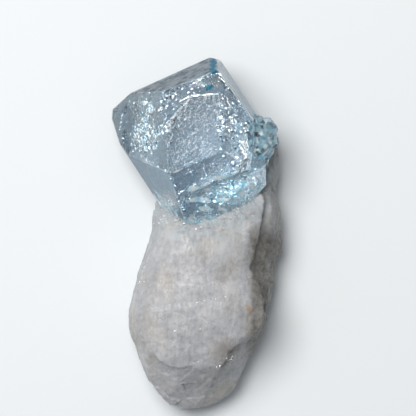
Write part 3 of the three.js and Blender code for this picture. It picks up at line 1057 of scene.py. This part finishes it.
def placing(middle, out, spin, scale):
    """The matrix that sets a shape at a place with its Z along a direction."""
    turned = out.to_track_quat("Z", "Y").to_matrix().to_4x4()
    spun = Matrix.Rotation(spin, 4, "Z")
    return Matrix.Translation(middle) @ turned @ spun @ Matrix.Diagonal((*scale, 1.0))


def lying(middle, out, run, scale):
    """The matrix that lays a shape along a run, with its Z along a direction."""
    along = (run.to_3d() - out * run.to_3d().dot(out)).normalized()
    basis = Matrix((along, out.cross(along), out)).transposed().to_4x4()
    return Matrix.Translation(middle) @ basis @ Matrix.Diagonal((*scale, 1.0))


def ragged_disc(shape, sides, dice):
    """An irregular flat polygon about one unit across."""
    outline = bmesh.ops.create_circle(shape, cap_ends=True, segments=sides, radius=0.5)
    for vertex in outline["verts"]:
        vertex.co *= dice.uniform(0.45, 1.0)


def flake(shape, dice):
    """An irregular flat flake one unit across, flat on top and pointed beneath."""
    ragged_disc(shape, dice.choice((4, 5, 6)), dice)
    point = shape.verts.new((0.0, 0.0, -1.0))
    for edge in shape.edges[:]:
        shape.faces.new((*edge.verts, point))
    bmesh.ops.recalc_face_normals(shape, faces=shape.faces)


def chunk(shape, dice):
    """An irregular flat-topped grain one unit across and thick."""
    ragged_disc(shape, 5, dice)
    bmesh.ops.solidify(shape, geom=shape.faces[:], thickness=1.0)
    bmesh.ops.recalc_face_normals(shape, faces=shape.faces)


# Cracks healed as crumpled hollow films: middle, azimuth and lean of the normal in degrees,
# width and height in millimetres, share of the film that is left, and crumpling.
FILMS = [
    (millimetres(-4.0, 9.4, 6.3), 182.0, 60.0, 4.6, 4.4, 0.55, 0.5),
    (millimetres(-3.4, 8.6, 5.6), 150.0, 70.0, 3.6, 3.4, 0.5, 0.6),
    (millimetres(-2.4, 11.3, 8.0), 138.0, 56.0, 4.6, 2.0, 0.42, 0.4),
    (millimetres(3.5, 8.7, 8.9), 2.0, 60.0, 1.6, 4.2, 0.45, 0.4),
    (millimetres(2.6, 3.4, 7.6), -45.0, 70.0, 4.4, 2.0, 0.5, 0.4),
]
FILM_CELL = 0.24 * MM
FILM_RAGGEDNESS = 0.18  # how far its corners stray, against the cell
FILM_WEAR = 0.15  # share of the film's cells that is gone, apart from its bare patches
FILM_THICKNESS = 0.014 * MM
FILM_CLEARANCE = 0.2 * MM  # from the film to the crystal's surface


def thicken(shape):
    """Gives each face of a shape a thickness of its own, as a thin closed flake."""
    bmesh.ops.split_edges(shape, edges=shape.edges)
    bmesh.ops.solidify(shape, geom=shape.faces[:], thickness=FILM_THICKNESS)
    bmesh.ops.recalc_face_normals(shape, faces=shape.faces)


def grow_film(piece, solid, film, dice):
    """Adds one crumpled film to the piece, as thin closed hollows."""
    middle, azimuth, lean, width, height, share, crumple = film
    out = facing(azimuth, lean)
    shape = bmesh.new()
    bmesh.ops.create_grid(
        shape,
        x_segments=round(width * MM / FILM_CELL),
        y_segments=round(height * MM / FILM_CELL),
        size=0.5,
        matrix=placing(middle, out, 0.0, (width * MM, height * MM, 1.0)),
    )
    for vertex in shape.verts:
        vertex.co += out * dice.gauss(0.0, crumple) * FILM_CELL
        vertex.co += jitter(dice, FILM_RAGGEDNESS) * FILM_CELL
    bmesh.ops.triangulate(shape, faces=shape.faces)
    lost = []
    for face in shape.faces:
        place = face.calc_center_median()
        distance = solid.find_nearest(place)[3]
        patchy = 0.5 + 0.9 * noise.noise(place / MM * 0.9)
        gone = patchy > share or dice.random() > 1.0 - FILM_WEAR
        if gone or distance < FILM_CLEARANCE or not is_inside(solid, place):
            lost.append(face)
    bmesh.ops.delete(shape, geom=lost, context="FACES")
    thicken(shape)
    bmesh.ops.reverse_faces(shape, faces=shape.faces)
    for face in shape.faces:
        face.material_index = HOLLOW
    add_shape(piece, shape)


# Healed breaks that run just under the front, seen from above: middle, reach along X and Y
# and depth in millimetres, share that is left, and finish.
SHEETS = [
    (-4.5, 8.5, 1.0, 1.3, 0.2, 0.3, MILKY),
    (-3.9, 10.2, 0.6, 0.9, 0.2, 0.35, MILKY),
]
SHEET_GRAIN = 1.3  # patches per millimetre
SHEET_LEFT = 0.9  # share of the patches' faces that is left


def grow_sheet(piece, sheet, dice):
    """Adds one patchy sheet under the front, as thin closed flakes."""
    x, y, reach_x, reach_y, depth, share, finish = sheet
    shape = bmesh.new()
    shape.from_mesh(piece.data)
    spare = []
    for face in shape.faces:
        mm = face.calc_center_median() / MM
        patchy = noise.noise(mm * SHEET_GRAIN) + 0.5 * noise.noise(mm * 3.0 * SHEET_GRAIN)
        kept = (
            face.material_index == CLEAR
            and face.normal.z > 0.3
            and math.hypot((mm.x - x) / reach_x, (mm.y - y) / reach_y) < 1.0
            and patchy > 0.9 * (0.5 - share)
            and dice.random() < SHEET_LEFT
        )
        if not kept:
            spare.append(face)
    bmesh.ops.delete(shape, geom=spare, context="FACES")
    if not shape.faces:
        raise RuntimeError(f"the sheet at {x}, {y} has no faces")
    shape.normal_update()
    for vertex in shape.verts:
        vertex.co -= vertex.normal * depth * MM
    thicken(shape)
    for face in shape.faces:
        face.material_index = finish
        face.smooth = False
    add_shape(piece, shape)


def add_shape(piece, shape):
    """Adds a bmesh to a piece's mesh and frees it."""
    extra = bpy.data.meshes.new("extra")
    shape.to_mesh(extra)
    shape.clear()
    shape.from_mesh(piece.data)
    shape.from_mesh(extra)
    shape.to_mesh(piece.data)
    shape.free()
    bpy.data.meshes.remove(extra)


class SPECIMEN_OT_grow_veils(bpy.types.Operator):
    """Fills the crystal with the flat flakes and hollows that sparkle as veils"""

    bl_idname = "specimen.grow_veils"
    bl_label = "Grow Veils"

    def execute(self, context):
        settings = context.scene.veil_settings
        piece = bpy.data.objects[CRYSTAL_PIECE]
        shape = bmesh.new()
        shape.from_mesh(piece.data)
        solid = BVHTree.FromBMesh(shape)
        shape.free()
        dice = random.Random(11)
        for sheet in SHEETS:
            grow_sheet(piece, sheet, dice)
        for film in FILMS:
            grow_film(piece, solid, film, dice)
        flakes = Scatter(flake, dice, 12)
        for x, y, reach_x, reach_y, depth, count, share, made_of in VEILS:
            for _ in range(count):
                across = x + dice.gauss(0.0, GATHERING) * reach_x
                spot = Vector((across, y + dice.gauss(0.0, GATHERING) * reach_y))
                front = front_at(solid, spot)
                if front is None:
                    continue
                place, _, inwards, flash = front
                if noise.noise(place / MM * 0.8) < dice.uniform(-1.0, PATCHINESS):
                    continue
                loose = AIMED
                if made_of in (SPARKLE, HAZE):
                    loose = STRAY
                elif made_of is SHELL:
                    loose = CLOSE
                tilt = jitter(dice, loose)
                size = settings.flake_size * share * dice.uniform(0.3, 1.5)
                point = place + inwards * dice.uniform(FLAKE_TOP, depth) * MM
                self.place(flakes, solid, point, flash + tilt, size, made_of)
        span = CRYSTAL_HIGH - CRYSTAL_LOW
        for _ in range(settings.haze_count):
            point = CRYSTAL_LOW + Vector([dice.random() * side for side in span])
            out = jitter(dice, 1.0).normalized()
            size = settings.flake_size * dice.uniform(0.2, 0.6)
            self.place(flakes, solid, point, out, size, HAZE)
        for finish, width, length, density, places in STRINGS:
            for first, second in stretches(places):
                run = second - first
                side = Vector((-run.y, run.x)).normalized()
                for _ in range(round(density * run.length)):
                    spot = first + run * dice.random() + side * dice.gauss(0.0, width)
                    reach = length * dice.uniform(0.4, 1.2)
                    self.string(flakes, solid, spot, run, reach, finish)
        flakes.join(piece)
        return {"FINISHED"}

    @staticmethod
    def string(flakes, solid, spot, run, length, finish):
        """Adds one splinter that lies along a line, just under the front."""
        front = front_at(solid, spot)
        if front is None:
            return
        place, normal, inwards, flash = front
        dice = flakes.dice
        out = (flash + jitter(dice, AIMED)).normalized()
        width = SPLINTER_WIDTH * dice.uniform(0.5, 1.2)
        slope = abs((run.to_3d() - out * run.to_3d().dot(out)).normalized().dot(normal))
        clear = dice.uniform(*SPLINTER_DEPTH) + 0.5 * length * slope
        middle = place + inwards * clear / abs(inwards.dot(normal)) * MM
        flakes.add(lying(middle, out, run, (length * MM, width, FLATNESS * width)), finish)

    @staticmethod
    def place(flakes, solid, point, out, size, made_of):
        """Adds a flake or a hollow if it lies well inside the crystal."""
        dice = flakes.dice
        distance = solid.find_nearest(point)[3]
        stretch, spin = dice.uniform(0.35, 1.0), dice.uniform(0.0, math.tau)
        finish = dice.choices(tuple(made_of), tuple(made_of.values()))[0]
        if distance < 0.55 * size + FLAKE_CLEARANCE or not is_inside(solid, point):
            return
        matrix = placing(point, out, spin, (size, size * stretch, size * FLATNESS))
        flakes.add(matrix, finish, inwards=finish == HOLLOW)


# ---------------------------------------------------------------- cluster

GRAIN_SINK = 0.03 * MM
GRAIN_LEAN = 0.16
INNER_SIDE = -0.6  # grains further towards the crystal than this are left out
UNDERSIDE = 0.35  # as are those whose ground looks up by less than this

# What the cluster's grains are made of, with the share of each; the dark grains are painted
# shade.
GRAINS = {ROUGH: 0.72, VEIL: 0.14, SHADE_MARK: 0.04, BLUE: 0.10}


class SPECIMEN_OT_grow_cluster(bpy.types.Operator):
    """Covers the cluster on the crystal's flank with small rough crystals"""

    bl_idname = "specimen.grow_cluster"
    bl_label = "Grow Cluster"

    def execute(self, context):
        settings = context.scene.cluster_settings
        piece = bpy.data.objects[CRYSTAL_PIECE]
        shape = bmesh.new()
        shape.from_mesh(piece.data)
        rough = [face for face in shape.faces if face.material_index == ROUGH]
        surface = BVHTree.FromPolygons(
            [vertex.co.copy() for vertex in shape.verts],
            [[vertex.index for vertex in face.verts] for face in rough],
        )
        shape.free()
        dice = random.Random(5)
        grains = Scatter(chunk, dice, 8)
        for index in range(settings.grain_count):
            height = 1.0 - 2.0 * (index + 0.5) / settings.grain_count
            ring = math.sqrt(1.0 - height * height)
            turn = index * math.pi * (3.0 - math.sqrt(5.0))
            out = Vector((ring * math.cos(turn), ring * math.sin(turn), height))
            if out.x < INNER_SIDE:
                continue
            near = CLUSTER_MIDDLE + Vector([a * b for a, b in zip(out, CLUSTER_REACH)])
            place, normal, _, _ = surface.find_nearest(near)
            if normal.z < UNDERSIDE:
                continue
            size = settings.grain_size * dice.uniform(0.4, 1.3)
            lean = (normal + jitter(dice, GRAIN_LEAN)).normalized()
            spin = dice.uniform(0.0, math.tau)
            finish = dice.choices(tuple(GRAINS), tuple(GRAINS.values()))[0]
            place -= normal * GRAIN_SINK
            grains.add(placing(place, lean, spin, (size, 0.7 * size, 0.3 * size)), finish)
        grains.join(piece)
        return {"FINISHED"}


# ---------------------------------------------------------------- rock

CONTACT_REACH = 0.5 * MM  # rock closer to the crystal than this is laid against it
CONTACT_SINK = 0.03 * MM
SOCKET_REACH = 0.33 * MM
RIM_REACH = 1.5 * MM  # how far from the join the rock is rougher and glassier
FLAT_BACK = 0.02 * MM  # the rock below this height lies on the ground
CLEAVAGE_SLOPE = 0.147  # rise of the cleavage steps against the run along X
DARK_EDGE = 3.9  # where the dark side starts along X, in millimetres
LOWER_END = -10.0  # where the rock's broken lower end starts along Y, in millimetres
ROUNDING, END_ROUNDING = 3, 9  # rounds of smoothing of the whole rock and of its lower end
STONE, SEAM, GLINT = range(3)

# Spots on the rock: place along X and Y and reach in millimetres, strength and colour. Some of
# the darker ones are painted shade.
ROCK_SPOTS_AND_SHADES = [
    # Painted shade: a darker grey towards the lower right of the front.
    (3.6, -5.2, 2.2, 0.3, (0.29, 0.30, 0.33)),
    (-3.3, -3.2, 2.4, 0.16, (0.33, 0.34, 0.36)),
    (4.35, -6.15, 0.42, 0.75, (0.42, 0.27, 0.13)),
    (4.1, -5.9, 0.25, 0.5, (0.42, 0.27, 0.13)),
    (-2.6, -3.6, 1.3, 0.25, (0.50, 0.43, 0.36)),
    (0.9, -1.0, 1.1, 0.22, (0.48, 0.43, 0.38)),
    (2.4, -1.2, 1.9, 0.6, (0.60, 0.63, 0.66)),
    (-3.2, -4.2, 2.2, 0.32, (0.37, 0.345, 0.325)),
    # Painted shade: a brownish darkening at the lower end.
    (2.4, -9.4, 1.7, 0.5, (0.27, 0.225, 0.19)),
    (-2.2, 0.0, 1.1, 0.25, (0.72, 0.72, 0.73)),
    (2.6, -4.5, 1.3, 0.25, (0.70, 0.70, 0.72)),
    (-3.6, -8.4, 1.6, 0.3, (0.72, 0.72, 0.73)),
    # Painted shade: the two dark spots on the right side.
    (6.3, -0.6, 1.5, 0.55, (0.07, 0.065, 0.06)),
    (5.6, -4.6, 1.3, 0.55, (0.07, 0.065, 0.06)),
    (2.75, -9.8, 0.4, 0.8, (0.07, 0.06, 0.05)),
]

# Grains along the join: how far they stray from it and how many there are, in millimetres and
# for each of them, and what they are made of, with the share of each.
SEAM_SPREAD = 0.38
SEAM_DENSITY = 24
SEAM_GRAINS = {STONE: 0.25, SEAM: 0.5, GLINT: 0.25}
GLINT_SIZE = 0.5  # size of a glint against that of a grain

# Small heaps of curled grains at the join: their places, number of grains and spread.
SEAM_CURLS = ((-2.7, 1.25), (1.75, 1.3), (3.2, 2.0), (-3.9, 1.9), (-3.1, 1.1))
CURL_GRAINS = 30
CURL_SPREAD = (0.34, 0.22)

# Glints that lie in a line or a group: places, number, spread and size in millimetres.
GLINT_GROUPS = [
    ((-4.3, -6.2), (-2.3, -5.8), 26, 0.035, 0.075),
    ((-0.2, -5.6), (2.4, -5.1), 24, 0.03, 0.075),
    ((-2.3, -5.8), (-0.2, -5.6), 8, 0.03, 0.06),
    ((2.6, -10.1), (3.0, -10.6), 16, 0.14, 0.17),
    ((1.6, -11.1), (2.3, -10.9), 12, 0.16, 0.17),
    ((-1.2, -10.2), (0.1, -10.7), 14, 0.2, 0.09),
    ((-1.85, -7.9), (-1.8, -7.9), 4, 0.05, 0.17),
    ((0.2, -7.8), (0.3, -7.8), 3, 0.04, 0.13),
    ((-4.6, -2.6), (-3.6, -1.8), 12, 0.2, 0.1),
    ((-4.7, -4.0), (-3.9, -3.4), 9, 0.2, 0.1),
]
LONG_RUN = 1.5  # glints lie along a line that is longer than this, in millimetres
SPLINTER_STRETCH = (3.0, 0.6)  # how much longer and narrower a glint on such a line is
LOOSE_GLINTS = 90


def weathered_feldspar():
    """Milky rock with white clouds, faint fibres, brownish patches, a rusty speck, a darker
    right side that is partly painted shade, and painted shade at the lower end.
    """
    settings = bpy.context.scene.rock_settings
    material, tree, shader = new_material("weathered_feldspar")
    cloud = noise_factor(tree, (0.32, 0.22, 0.3), 5.0)
    milk = noise_factor(tree, (0.8, 0.5, 0.8), 5.0, turn=(0.0, 0.0, 0.5))
    fibre = noise_factor(tree, (4.2, 0.35, 2.0), 6.0)
    mottle = noise_factor(tree, (2.6, 2.6, 2.6), 6.0)
    mixed = noise_factor(tree, (1.3, 1.3, 1.3), 4.0)

    # Healed cracks run between large cells, in a space that the milky clouds bend.
    space = pattern_space(tree, (0.34, 0.62, 0.4), (0.0, 0.0, -0.15))
    inputs = {0: space, 1: arithmetic(tree, "MULTIPLY", milk, 1.6)}
    space = node(tree, "ShaderNodeVectorMath", inputs, operation="ADD").outputs["Vector"]
    inputs = {"Vector": space, "Scale": 1.0}
    crack = node(tree, "ShaderNodeTexVoronoi", inputs, feature="DISTANCE_TO_EDGE")

    stained = ramp(tree, cloud, [(0.48, BLACK), (0.66, WHITE)])
    colour = blend(tree, stained, settings.white, settings.stain)
    for pattern, *stops in (
        (milk, (0.36, (0.91, 0.92, 0.94)), (0.64, (1.09, 1.09, 1.09))),
        (fibre, (0.36, (0.95, 0.95, 0.955)), (0.64, (1.03, 1.03, 1.03))),
        (mottle, (0.36, (0.86, 0.86, 0.87)), (0.54, (1.03, 1.03, 1.03))),
        (crack.outputs["Distance"], (0.0, (1.16, 1.16, 1.17)), (0.035, WHITE)),
    ):
        colour = blend(tree, 1.0, colour, ramp(tree, pattern, stops), "MULTIPLY")

    rim, socket, weathered_and_shaded = (
        stored(tree, name).outputs["Fac"] for name in ("rim", "socket", "weathered_and_shaded")
    )
    patches = ramp(tree, mixed, [(0.4, BLACK), (0.6, WHITE)])
    glassy = arithmetic(tree, "MULTIPLY", rim, patches)
    # The right side's darker colour is partly weathered crust and partly painted shade.
    grimy_and_shaded = [1.8 * part for part in settings.dark]
    grime_and_shade = ramp(tree, mottle, [(0.35, settings.dark), (0.65, grimy_and_shaded)])
    for share, cover in (
        (glassy, (0.42, 0.475, 0.51)),
        (socket, (0.80, 0.86, 0.90)),
        (weathered_and_shaded, grime_and_shade),
    ):
        colour = blend(tree, share, colour, cover)
    inputs = {
        "Base Color": with_zones(tree, colour, ROCK_SPOTS_AND_SHADES),
        "Roughness": rescale(tree, cell_shade(tree, (4.0, 3.0, 4.0)), 1.0, 0.34, 0.7),
        "Normal": bump(tree, noise_factor(tree, (5.0, 2.0, 5.0), 8.0), 0.05),
        "Subsurface Weight": 0.35,
        "Subsurface Radius": (1.0, 0.97, 0.94),
        "Subsurface Scale": 0.35 * MM,
    }
    feed(tree, shader, inputs)
    return material


def seam_glass():
    """Translucent bluish grains where crystal and rock have grown into each other."""
    stops = (0.4, (0.70, 0.84, 0.92)), (0.6, (0.98, 0.99, 1.0))
    inputs = {"Roughness": 0.14, "IOR": 1.6, "Transmission Weight": 0.3}
    return mottled("seam_glass", 1.6, 3.0, *stops, inputs)


def cleavage_glint():
    """Small mirror-bright cleavage faces."""
    stops = (0.4, (0.75, 0.77, 0.80)), (0.6, WHITE)
    return mottled("cleavage_glint", 2.0, 3.0, *stops, {"Metallic": 0.4, "Roughness": 0.34})


def rock_relief(point, normal):
    """How far the rock stands out at a point, along its normal."""
    mm = point / MM
    front = max(0.0, normal.z) ** 2
    broken = 1.0 - front + 0.7 * held((LOWER_END - mm.y) / 2.0)
    fibre = noise.fractal(Vector((mm.x * 2.4, mm.y * 0.22, mm.z)), 1.0, 2.0, 4)
    step = mm.y - CLEAVAGE_SLOPE * mm.x + 0.35 * noise.noise(mm * 0.6)
    ledge = (step * 0.45) % 1.0
    grain = noise.fractal(mm * 2.6, 1.0, 2.0, 4)
    height = (0.009 * fibre + 0.010 * (ledge - 0.5)) * front
    height += 0.012 * grain
    height += craggy(mm, 2.1, 0.20) * (0.05 + broken)
    height += craggy(mm, 0.8, 0.07) * (0.08 + broken)
    return height * MM


class SPECIMEN_OT_break_rock(bpy.types.Operator):
    """Makes the rock from its solid, works cleavage relief into it and seats the crystal"""

    bl_idname = "specimen.break_rock"
    bl_label = "Break Rock"

    def execute(self, context):
        settings = context.scene.rock_settings
        noise.seed_set(CRAG_SEED)
        shape = copy_of_solid(ROCK_NODE)
        finish = weathered_feldspar()
        piece = make_piece(ROCK_PIECE, shape, [finish], ROCK_NODE)
        even = piece.modifiers.new("even mesh", "REMESH")
        even.mode = "VOXEL"
        even.voxel_size = settings.voxel
        apply_modifiers(piece)
        piece.data.materials.clear()
        piece.data.materials.append(finish)

        shape = bmesh.new()
        shape.from_mesh(piece.data)
        crystal = copy_of_solid(CRYSTAL_NODE)
        crystal_tree = BVHTree.FromBMesh(crystal)
        crystal.free()
        self.soften(shape, crystal_tree)
        weathered_and_shaded = shape.verts.layers.float.new("weathered_and_shaded")
        rim = shape.verts.layers.float.new("rim")
        socket = shape.verts.layers.float.new("socket")
        moves = []
        for vertex in shape.verts:
            vertex[weathered_and_shaded] = self.weathering_and_shade(vertex.co, vertex.normal)
            away = crystal_tree.find_nearest(vertex.co)[3]
            vertex[rim] = held(1.6 - away / RIM_REACH)
            vertex[socket] = 1.0 if away < SOCKET_REACH else 0.0
            moves.append(self.settle(vertex.co, vertex.normal, crystal_tree))
        for vertex, place in zip(shape.verts, moves):
            vertex.co = place
        for face in shape.faces:
            face.smooth = True
        shape.to_mesh(piece.data)
        rock_tree = BVHTree.FromBMesh(shape)
        shape.free()
        for glassy in (seam_glass(), cleavage_glint()):
            piece.data.materials.append(glassy)
        self.scatter_grains(piece, rock_tree, crystal_tree)
        return {"FINISHED"}

    @staticmethod
    def soften(shape, crystal_tree):
        """Rounds the rock's broken edges, most of all at its lower end."""
        free = [
            vertex
            for vertex in shape.verts
            if vertex.co.z > MM and crystal_tree.find_nearest(vertex.co)[3] > RIM_REACH
        ]
        lower = [vertex for vertex in free if vertex.co.y < LOWER_END * MM]
        for verts, rounds in ((free, ROUNDING), (lower, END_ROUNDING)):
            for _ in range(rounds):
                smooth(shape, verts)
        shape.normal_update()

    @staticmethod
    def scatter_grains(piece, rock_tree, crystal_tree):
        """Adds the grains along the join with the crystal and the glints on the rock."""
        dice = random.Random(23)
        grains = Scatter(chunk, dice, 8)

        def add(spot, size, thickness, tilt, finish, run=None):
            """Adds one grain on the rock or the crystal, whichever is on top."""
            hits = [tree.ray_cast(above(spot), DOWN) for tree in (rock_tree, crystal_tree)]
            hits = [hit for hit in hits if hit[0] is not None]
            if not hits:
                return
            place, normal, _, _ = min(hits, key=lambda hit: hit[3])
            if place.z < MM:
                return
            if finish == GLINT:
                normal = ((KEY_PLACE - place).normalized() - DOWN).normalized()
            lean = (normal + jitter(dice, tilt)).normalized()
            width = size * dice.uniform(0.4, 1.0) * MM
            if run:
                longer, narrower = SPLINTER_STRETCH
                scale = (longer * (size * MM), narrower * width, thickness * MM)
                grains.add(lying(place, lean, run, scale), finish)
            else:
                scale = (size * MM, width, thickness * MM)
                grains.add(placing(place, lean, dice.uniform(0.0, math.tau), scale), finish)

        for first, second in stretches(SEAM_LINE):
            for _ in range(round(SEAM_DENSITY * (second - first).length)):
                stray = jitter(dice, SEAM_SPREAD, axes=2)
                spot = first.lerp(second, dice.random()) + stray
                finish = dice.choices(tuple(SEAM_GRAINS), tuple(SEAM_GRAINS.values()))[0]
                size = dice.uniform(0.12, 0.36) * (GLINT_SIZE if finish == GLINT else 1.0)
                add(spot, size, dice.uniform(0.05, 0.16), 0.35, finish)
        for curl in SEAM_CURLS:
            for _ in range(CURL_GRAINS):
                spot = Vector(curl) + Vector([dice.gauss(0.0, reach) for reach in CURL_SPREAD])
                finish = dice.choice((SEAM, SEAM, GLINT))
                size = dice.uniform(0.1, 0.36) * (GLINT_SIZE if finish == GLINT else 1.0)
                add(spot, size, 0.08, 0.4, finish)
        for first, second, count, spread, size in GLINT_GROUPS:
            run = Vector(second) - Vector(first)
            line = run if run.length > LONG_RUN else None
            for _ in range(count):
                spot = Vector(first).lerp(Vector(second), dice.random())
                spot += jitter(dice, spread, axes=2)
                add(spot, size * dice.uniform(0.4, 1.3), 0.03, 0.16, GLINT, line)
        for _ in range(LOOSE_GLINTS):
            spot = Vector((dice.uniform(-6.0, 7.0), dice.uniform(-12.0, 2.0)))
            add(spot, dice.uniform(0.04, 0.1), 0.03, 0.25, GLINT)
        grains.join(piece)

    @staticmethod
    def weathering_and_shade(place, normal):
        """1 on the faces that look right, darkened partly as an old weathered crust and partly
        as painted shade; 0 on the clean front.
        """
        mm = place / MM
        wander = 0.25 * noise.noise(mm * 0.9)
        right = (1.2 * normal.x - 0.5 * normal.z + 0.2 + wander) * 3.0
        beyond = (mm.x - DARK_EDGE) * 1.2
        # The darkening, partly painted shade, is halved towards the top.
        fresh = 0.5 * held((mm.y + 0.5) / 1.5)
        return (1.0 - fresh) * held(min(right, beyond))

    @staticmethod
    def settle(place, normal, crystal_tree):
        """The vertex's place with its relief, or against the crystal in the socket."""
        near, face_normal, _, distance = crystal_tree.find_nearest(place)
        if distance < CONTACT_REACH:
            return near - face_normal * CONTACT_SINK
        if place.z < FLAT_BACK:
            return Vector((place.x, place.y, 0.0))
        away = distance - CONTACT_REACH
        calm = min(1.0, away / (0.3 * MM), place.z / (0.6 * MM))
        height = rock_relief(place, normal)
        rim = max(0.0, 1.0 - away / RIM_REACH)
        height += rim * (craggy(place / MM, 0.55, 0.34) + 0.03) * MM
        moved = place + normal * height * calm
        moved.z = max(0.0, moved.z)
        return moved


# ---------------------------------------------------------------- stage

FRAME_WIDTH = 34.94 * MM  # width of the view at the specimen's middle height
VIEW_MIDDLE = millimetres(0.911, 2.25, 6.0)
VIEW_DISTANCE = 220 * MM
SENSOR = 36.0
BRIGHT_SIDE = Vector((-0.45, 0.5, 0.74)).normalized()
FLOOR_RADIUS = 3.0
FLOOR_SIDES = 64
KEY_TARGET = millimetres(0.0, 0.0, 5.0)
KEY_WIDTH = 150 * MM
KEY_COLOUR = (1.0, 0.98, 0.95)
GLASS_BOUNCES = 24
MIRROR_BOUNCES = 12


def floor_finish():
    """The matt, pale floor."""
    tint = (*bpy.context.scene.stage_settings.floor_tint, 1.0)
    material, tree, shader = new_material("pale_floor")
    feed(tree, shader, {"Base Color": tint, "Roughness": 0.9, "Specular IOR Level": 0.1})
    return material


def hang_key_light(power):
    """The large soft light at the upper left, turned towards the specimen."""
    lamp = bpy.data.lights.new("key", "AREA")
    lamp.shape = "ELLIPSE"
    lamp.size = lamp.size_y = KEY_WIDTH
    lamp.energy = power
    lamp.color = KEY_COLOUR
    light = bpy.data.objects.new("key", lamp)
    light.location = KEY_PLACE
    light.rotation_euler = (KEY_TARGET - KEY_PLACE).to_track_quat("-Z", "Y").to_euler()
    bpy.context.scene.collection.objects.link(light)


def light_room(strength):
    """Pale light from all round, brightest from the upper left and dim from the lower right."""
    world = bpy.data.worlds.new("room")
    bpy.context.scene.world = world
    world.use_nodes = True
    tree = world.node_tree
    way = node(tree, "ShaderNodeTexCoord", {}).outputs["Generated"]
    inputs = {0: way, 1: tuple(BRIGHT_SIDE)}
    side = node(tree, "ShaderNodeVectorMath", inputs, operation="DOT_PRODUCT").outputs["Value"]
    share = arithmetic(tree, "ADD", arithmetic(tree, "MULTIPLY", side, 0.5), 0.5)
    stops = [(0.3, (0.24, 0.26, 0.28)), (0.6, (0.5, 0.53, 0.56)), (0.85, WHITE)]
    glow = {"Color": ramp(tree, share, stops), "Strength": strength}
    feed(tree, tree.nodes["Background"], glow)


class SPECIMEN_OT_set_stage(bpy.types.Operator):
    """Sets the floor, the lights and the camera that looks down on the specimen"""

    bl_idname = "specimen.set_stage"
    bl_label = "Set Stage"

    def execute(self, context):
        settings = context.scene.stage_settings
        ground = bmesh.new()
        bmesh.ops.create_circle(
            ground, cap_ends=True, segments=FLOOR_SIDES, radius=FLOOR_RADIUS
        )
        mesh = bpy.data.meshes.new("floor")
        ground.to_mesh(mesh)
        ground.free()
        mesh.materials.append(floor_finish())
        floor = bpy.data.objects.new("floor", mesh)
        context.scene.collection.objects.link(floor)

        hang_key_light(settings.key_power)
        light_room(settings.room_glow)

        camera_data = bpy.data.cameras.new("camera")
        camera_data.sensor_width = SENSOR
        camera_data.lens = SENSOR * VIEW_DISTANCE / FRAME_WIDTH
        camera_data.clip_start = 1 * MM
        camera_data.clip_end = 20.0
        camera = bpy.data.objects.new("camera", camera_data)
        camera.location = VIEW_MIDDLE + Vector((0.0, 0.0, VIEW_DISTANCE))
        context.scene.collection.objects.link(camera)
        context.scene.camera = camera

        context.scene.view_settings.view_transform = "Standard"
        context.scene.cycles.max_bounces = GLASS_BOUNCES
        context.scene.cycles.transmission_bounces = GLASS_BOUNCES
        context.scene.cycles.glossy_bounces = MIRROR_BOUNCES
        return {"FINISHED"}


# ---------------------------------------------------------------- add-on


class SPECIMEN_PT_panel(bpy.types.Panel):
    """The specimen's settings and steps, in the 3D view's sidebar"""

    bl_label = "Specimen"
    bl_idname = "SPECIMEN_PT_panel"
    bl_space_type = "VIEW_3D"
    bl_region_type = "UI"
    bl_category = "Specimen"

    def draw(self, context):
        scene = context.scene
        for title, settings, operator in (
            ("Crystal", scene.crystal_settings, "specimen.grow_crystal"),
            ("Veils", scene.veil_settings, "specimen.grow_veils"),
            ("Cluster", scene.cluster_settings, "specimen.grow_cluster"),
            ("Rock", scene.rock_settings, "specimen.break_rock"),
            ("Stage", scene.stage_settings, "specimen.set_stage"),
        ):
            box = self.layout.box()
            box.label(text=title)
            for name in settings.__annotations__:
                box.prop(settings, name)
            box.operator(operator)


SETTINGS = {
    "crystal_settings": CrystalSettings,
    "veil_settings": VeilSettings,
    "cluster_settings": ClusterSettings,
    "rock_settings": RockSettings,
    "stage_settings": StageSettings,
}

OPERATORS = (
    SPECIMEN_OT_grow_crystal,
    SPECIMEN_OT_grow_veils,
    SPECIMEN_OT_grow_cluster,
    SPECIMEN_OT_break_rock,
    SPECIMEN_OT_set_stage,
)


def register():
    """Makes the settings, the steps and the panel known."""
    for settings in SETTINGS.values():
        bpy.utils.register_class(settings)
    for name, settings in SETTINGS.items():
        setattr(bpy.types.Scene, name, PointerProperty(type=settings))
    for operator in OPERATORS:
        bpy.utils.register_class(operator)
    bpy.utils.register_class(SPECIMEN_PT_panel)


def unregister():
    """Takes them away again, in the opposite order."""
    bpy.utils.unregister_class(SPECIMEN_PT_panel)
    for operator in reversed(OPERATORS):
        bpy.utils.unregister_class(operator)
    for name in SETTINGS:
        delattr(bpy.types.Scene, name)
    for settings in reversed(SETTINGS.values()):
        bpy.utils.unregister_class(settings)


def main():
    """Builds the specimen and its stage."""
    register()
    bpy.ops.specimen.set_stage()
    bpy.ops.specimen.grow_crystal()
    bpy.ops.specimen.grow_veils()
    bpy.ops.specimen.grow_cluster()
    bpy.ops.specimen.break_rock()


if __name__ == "__main__":
    main()
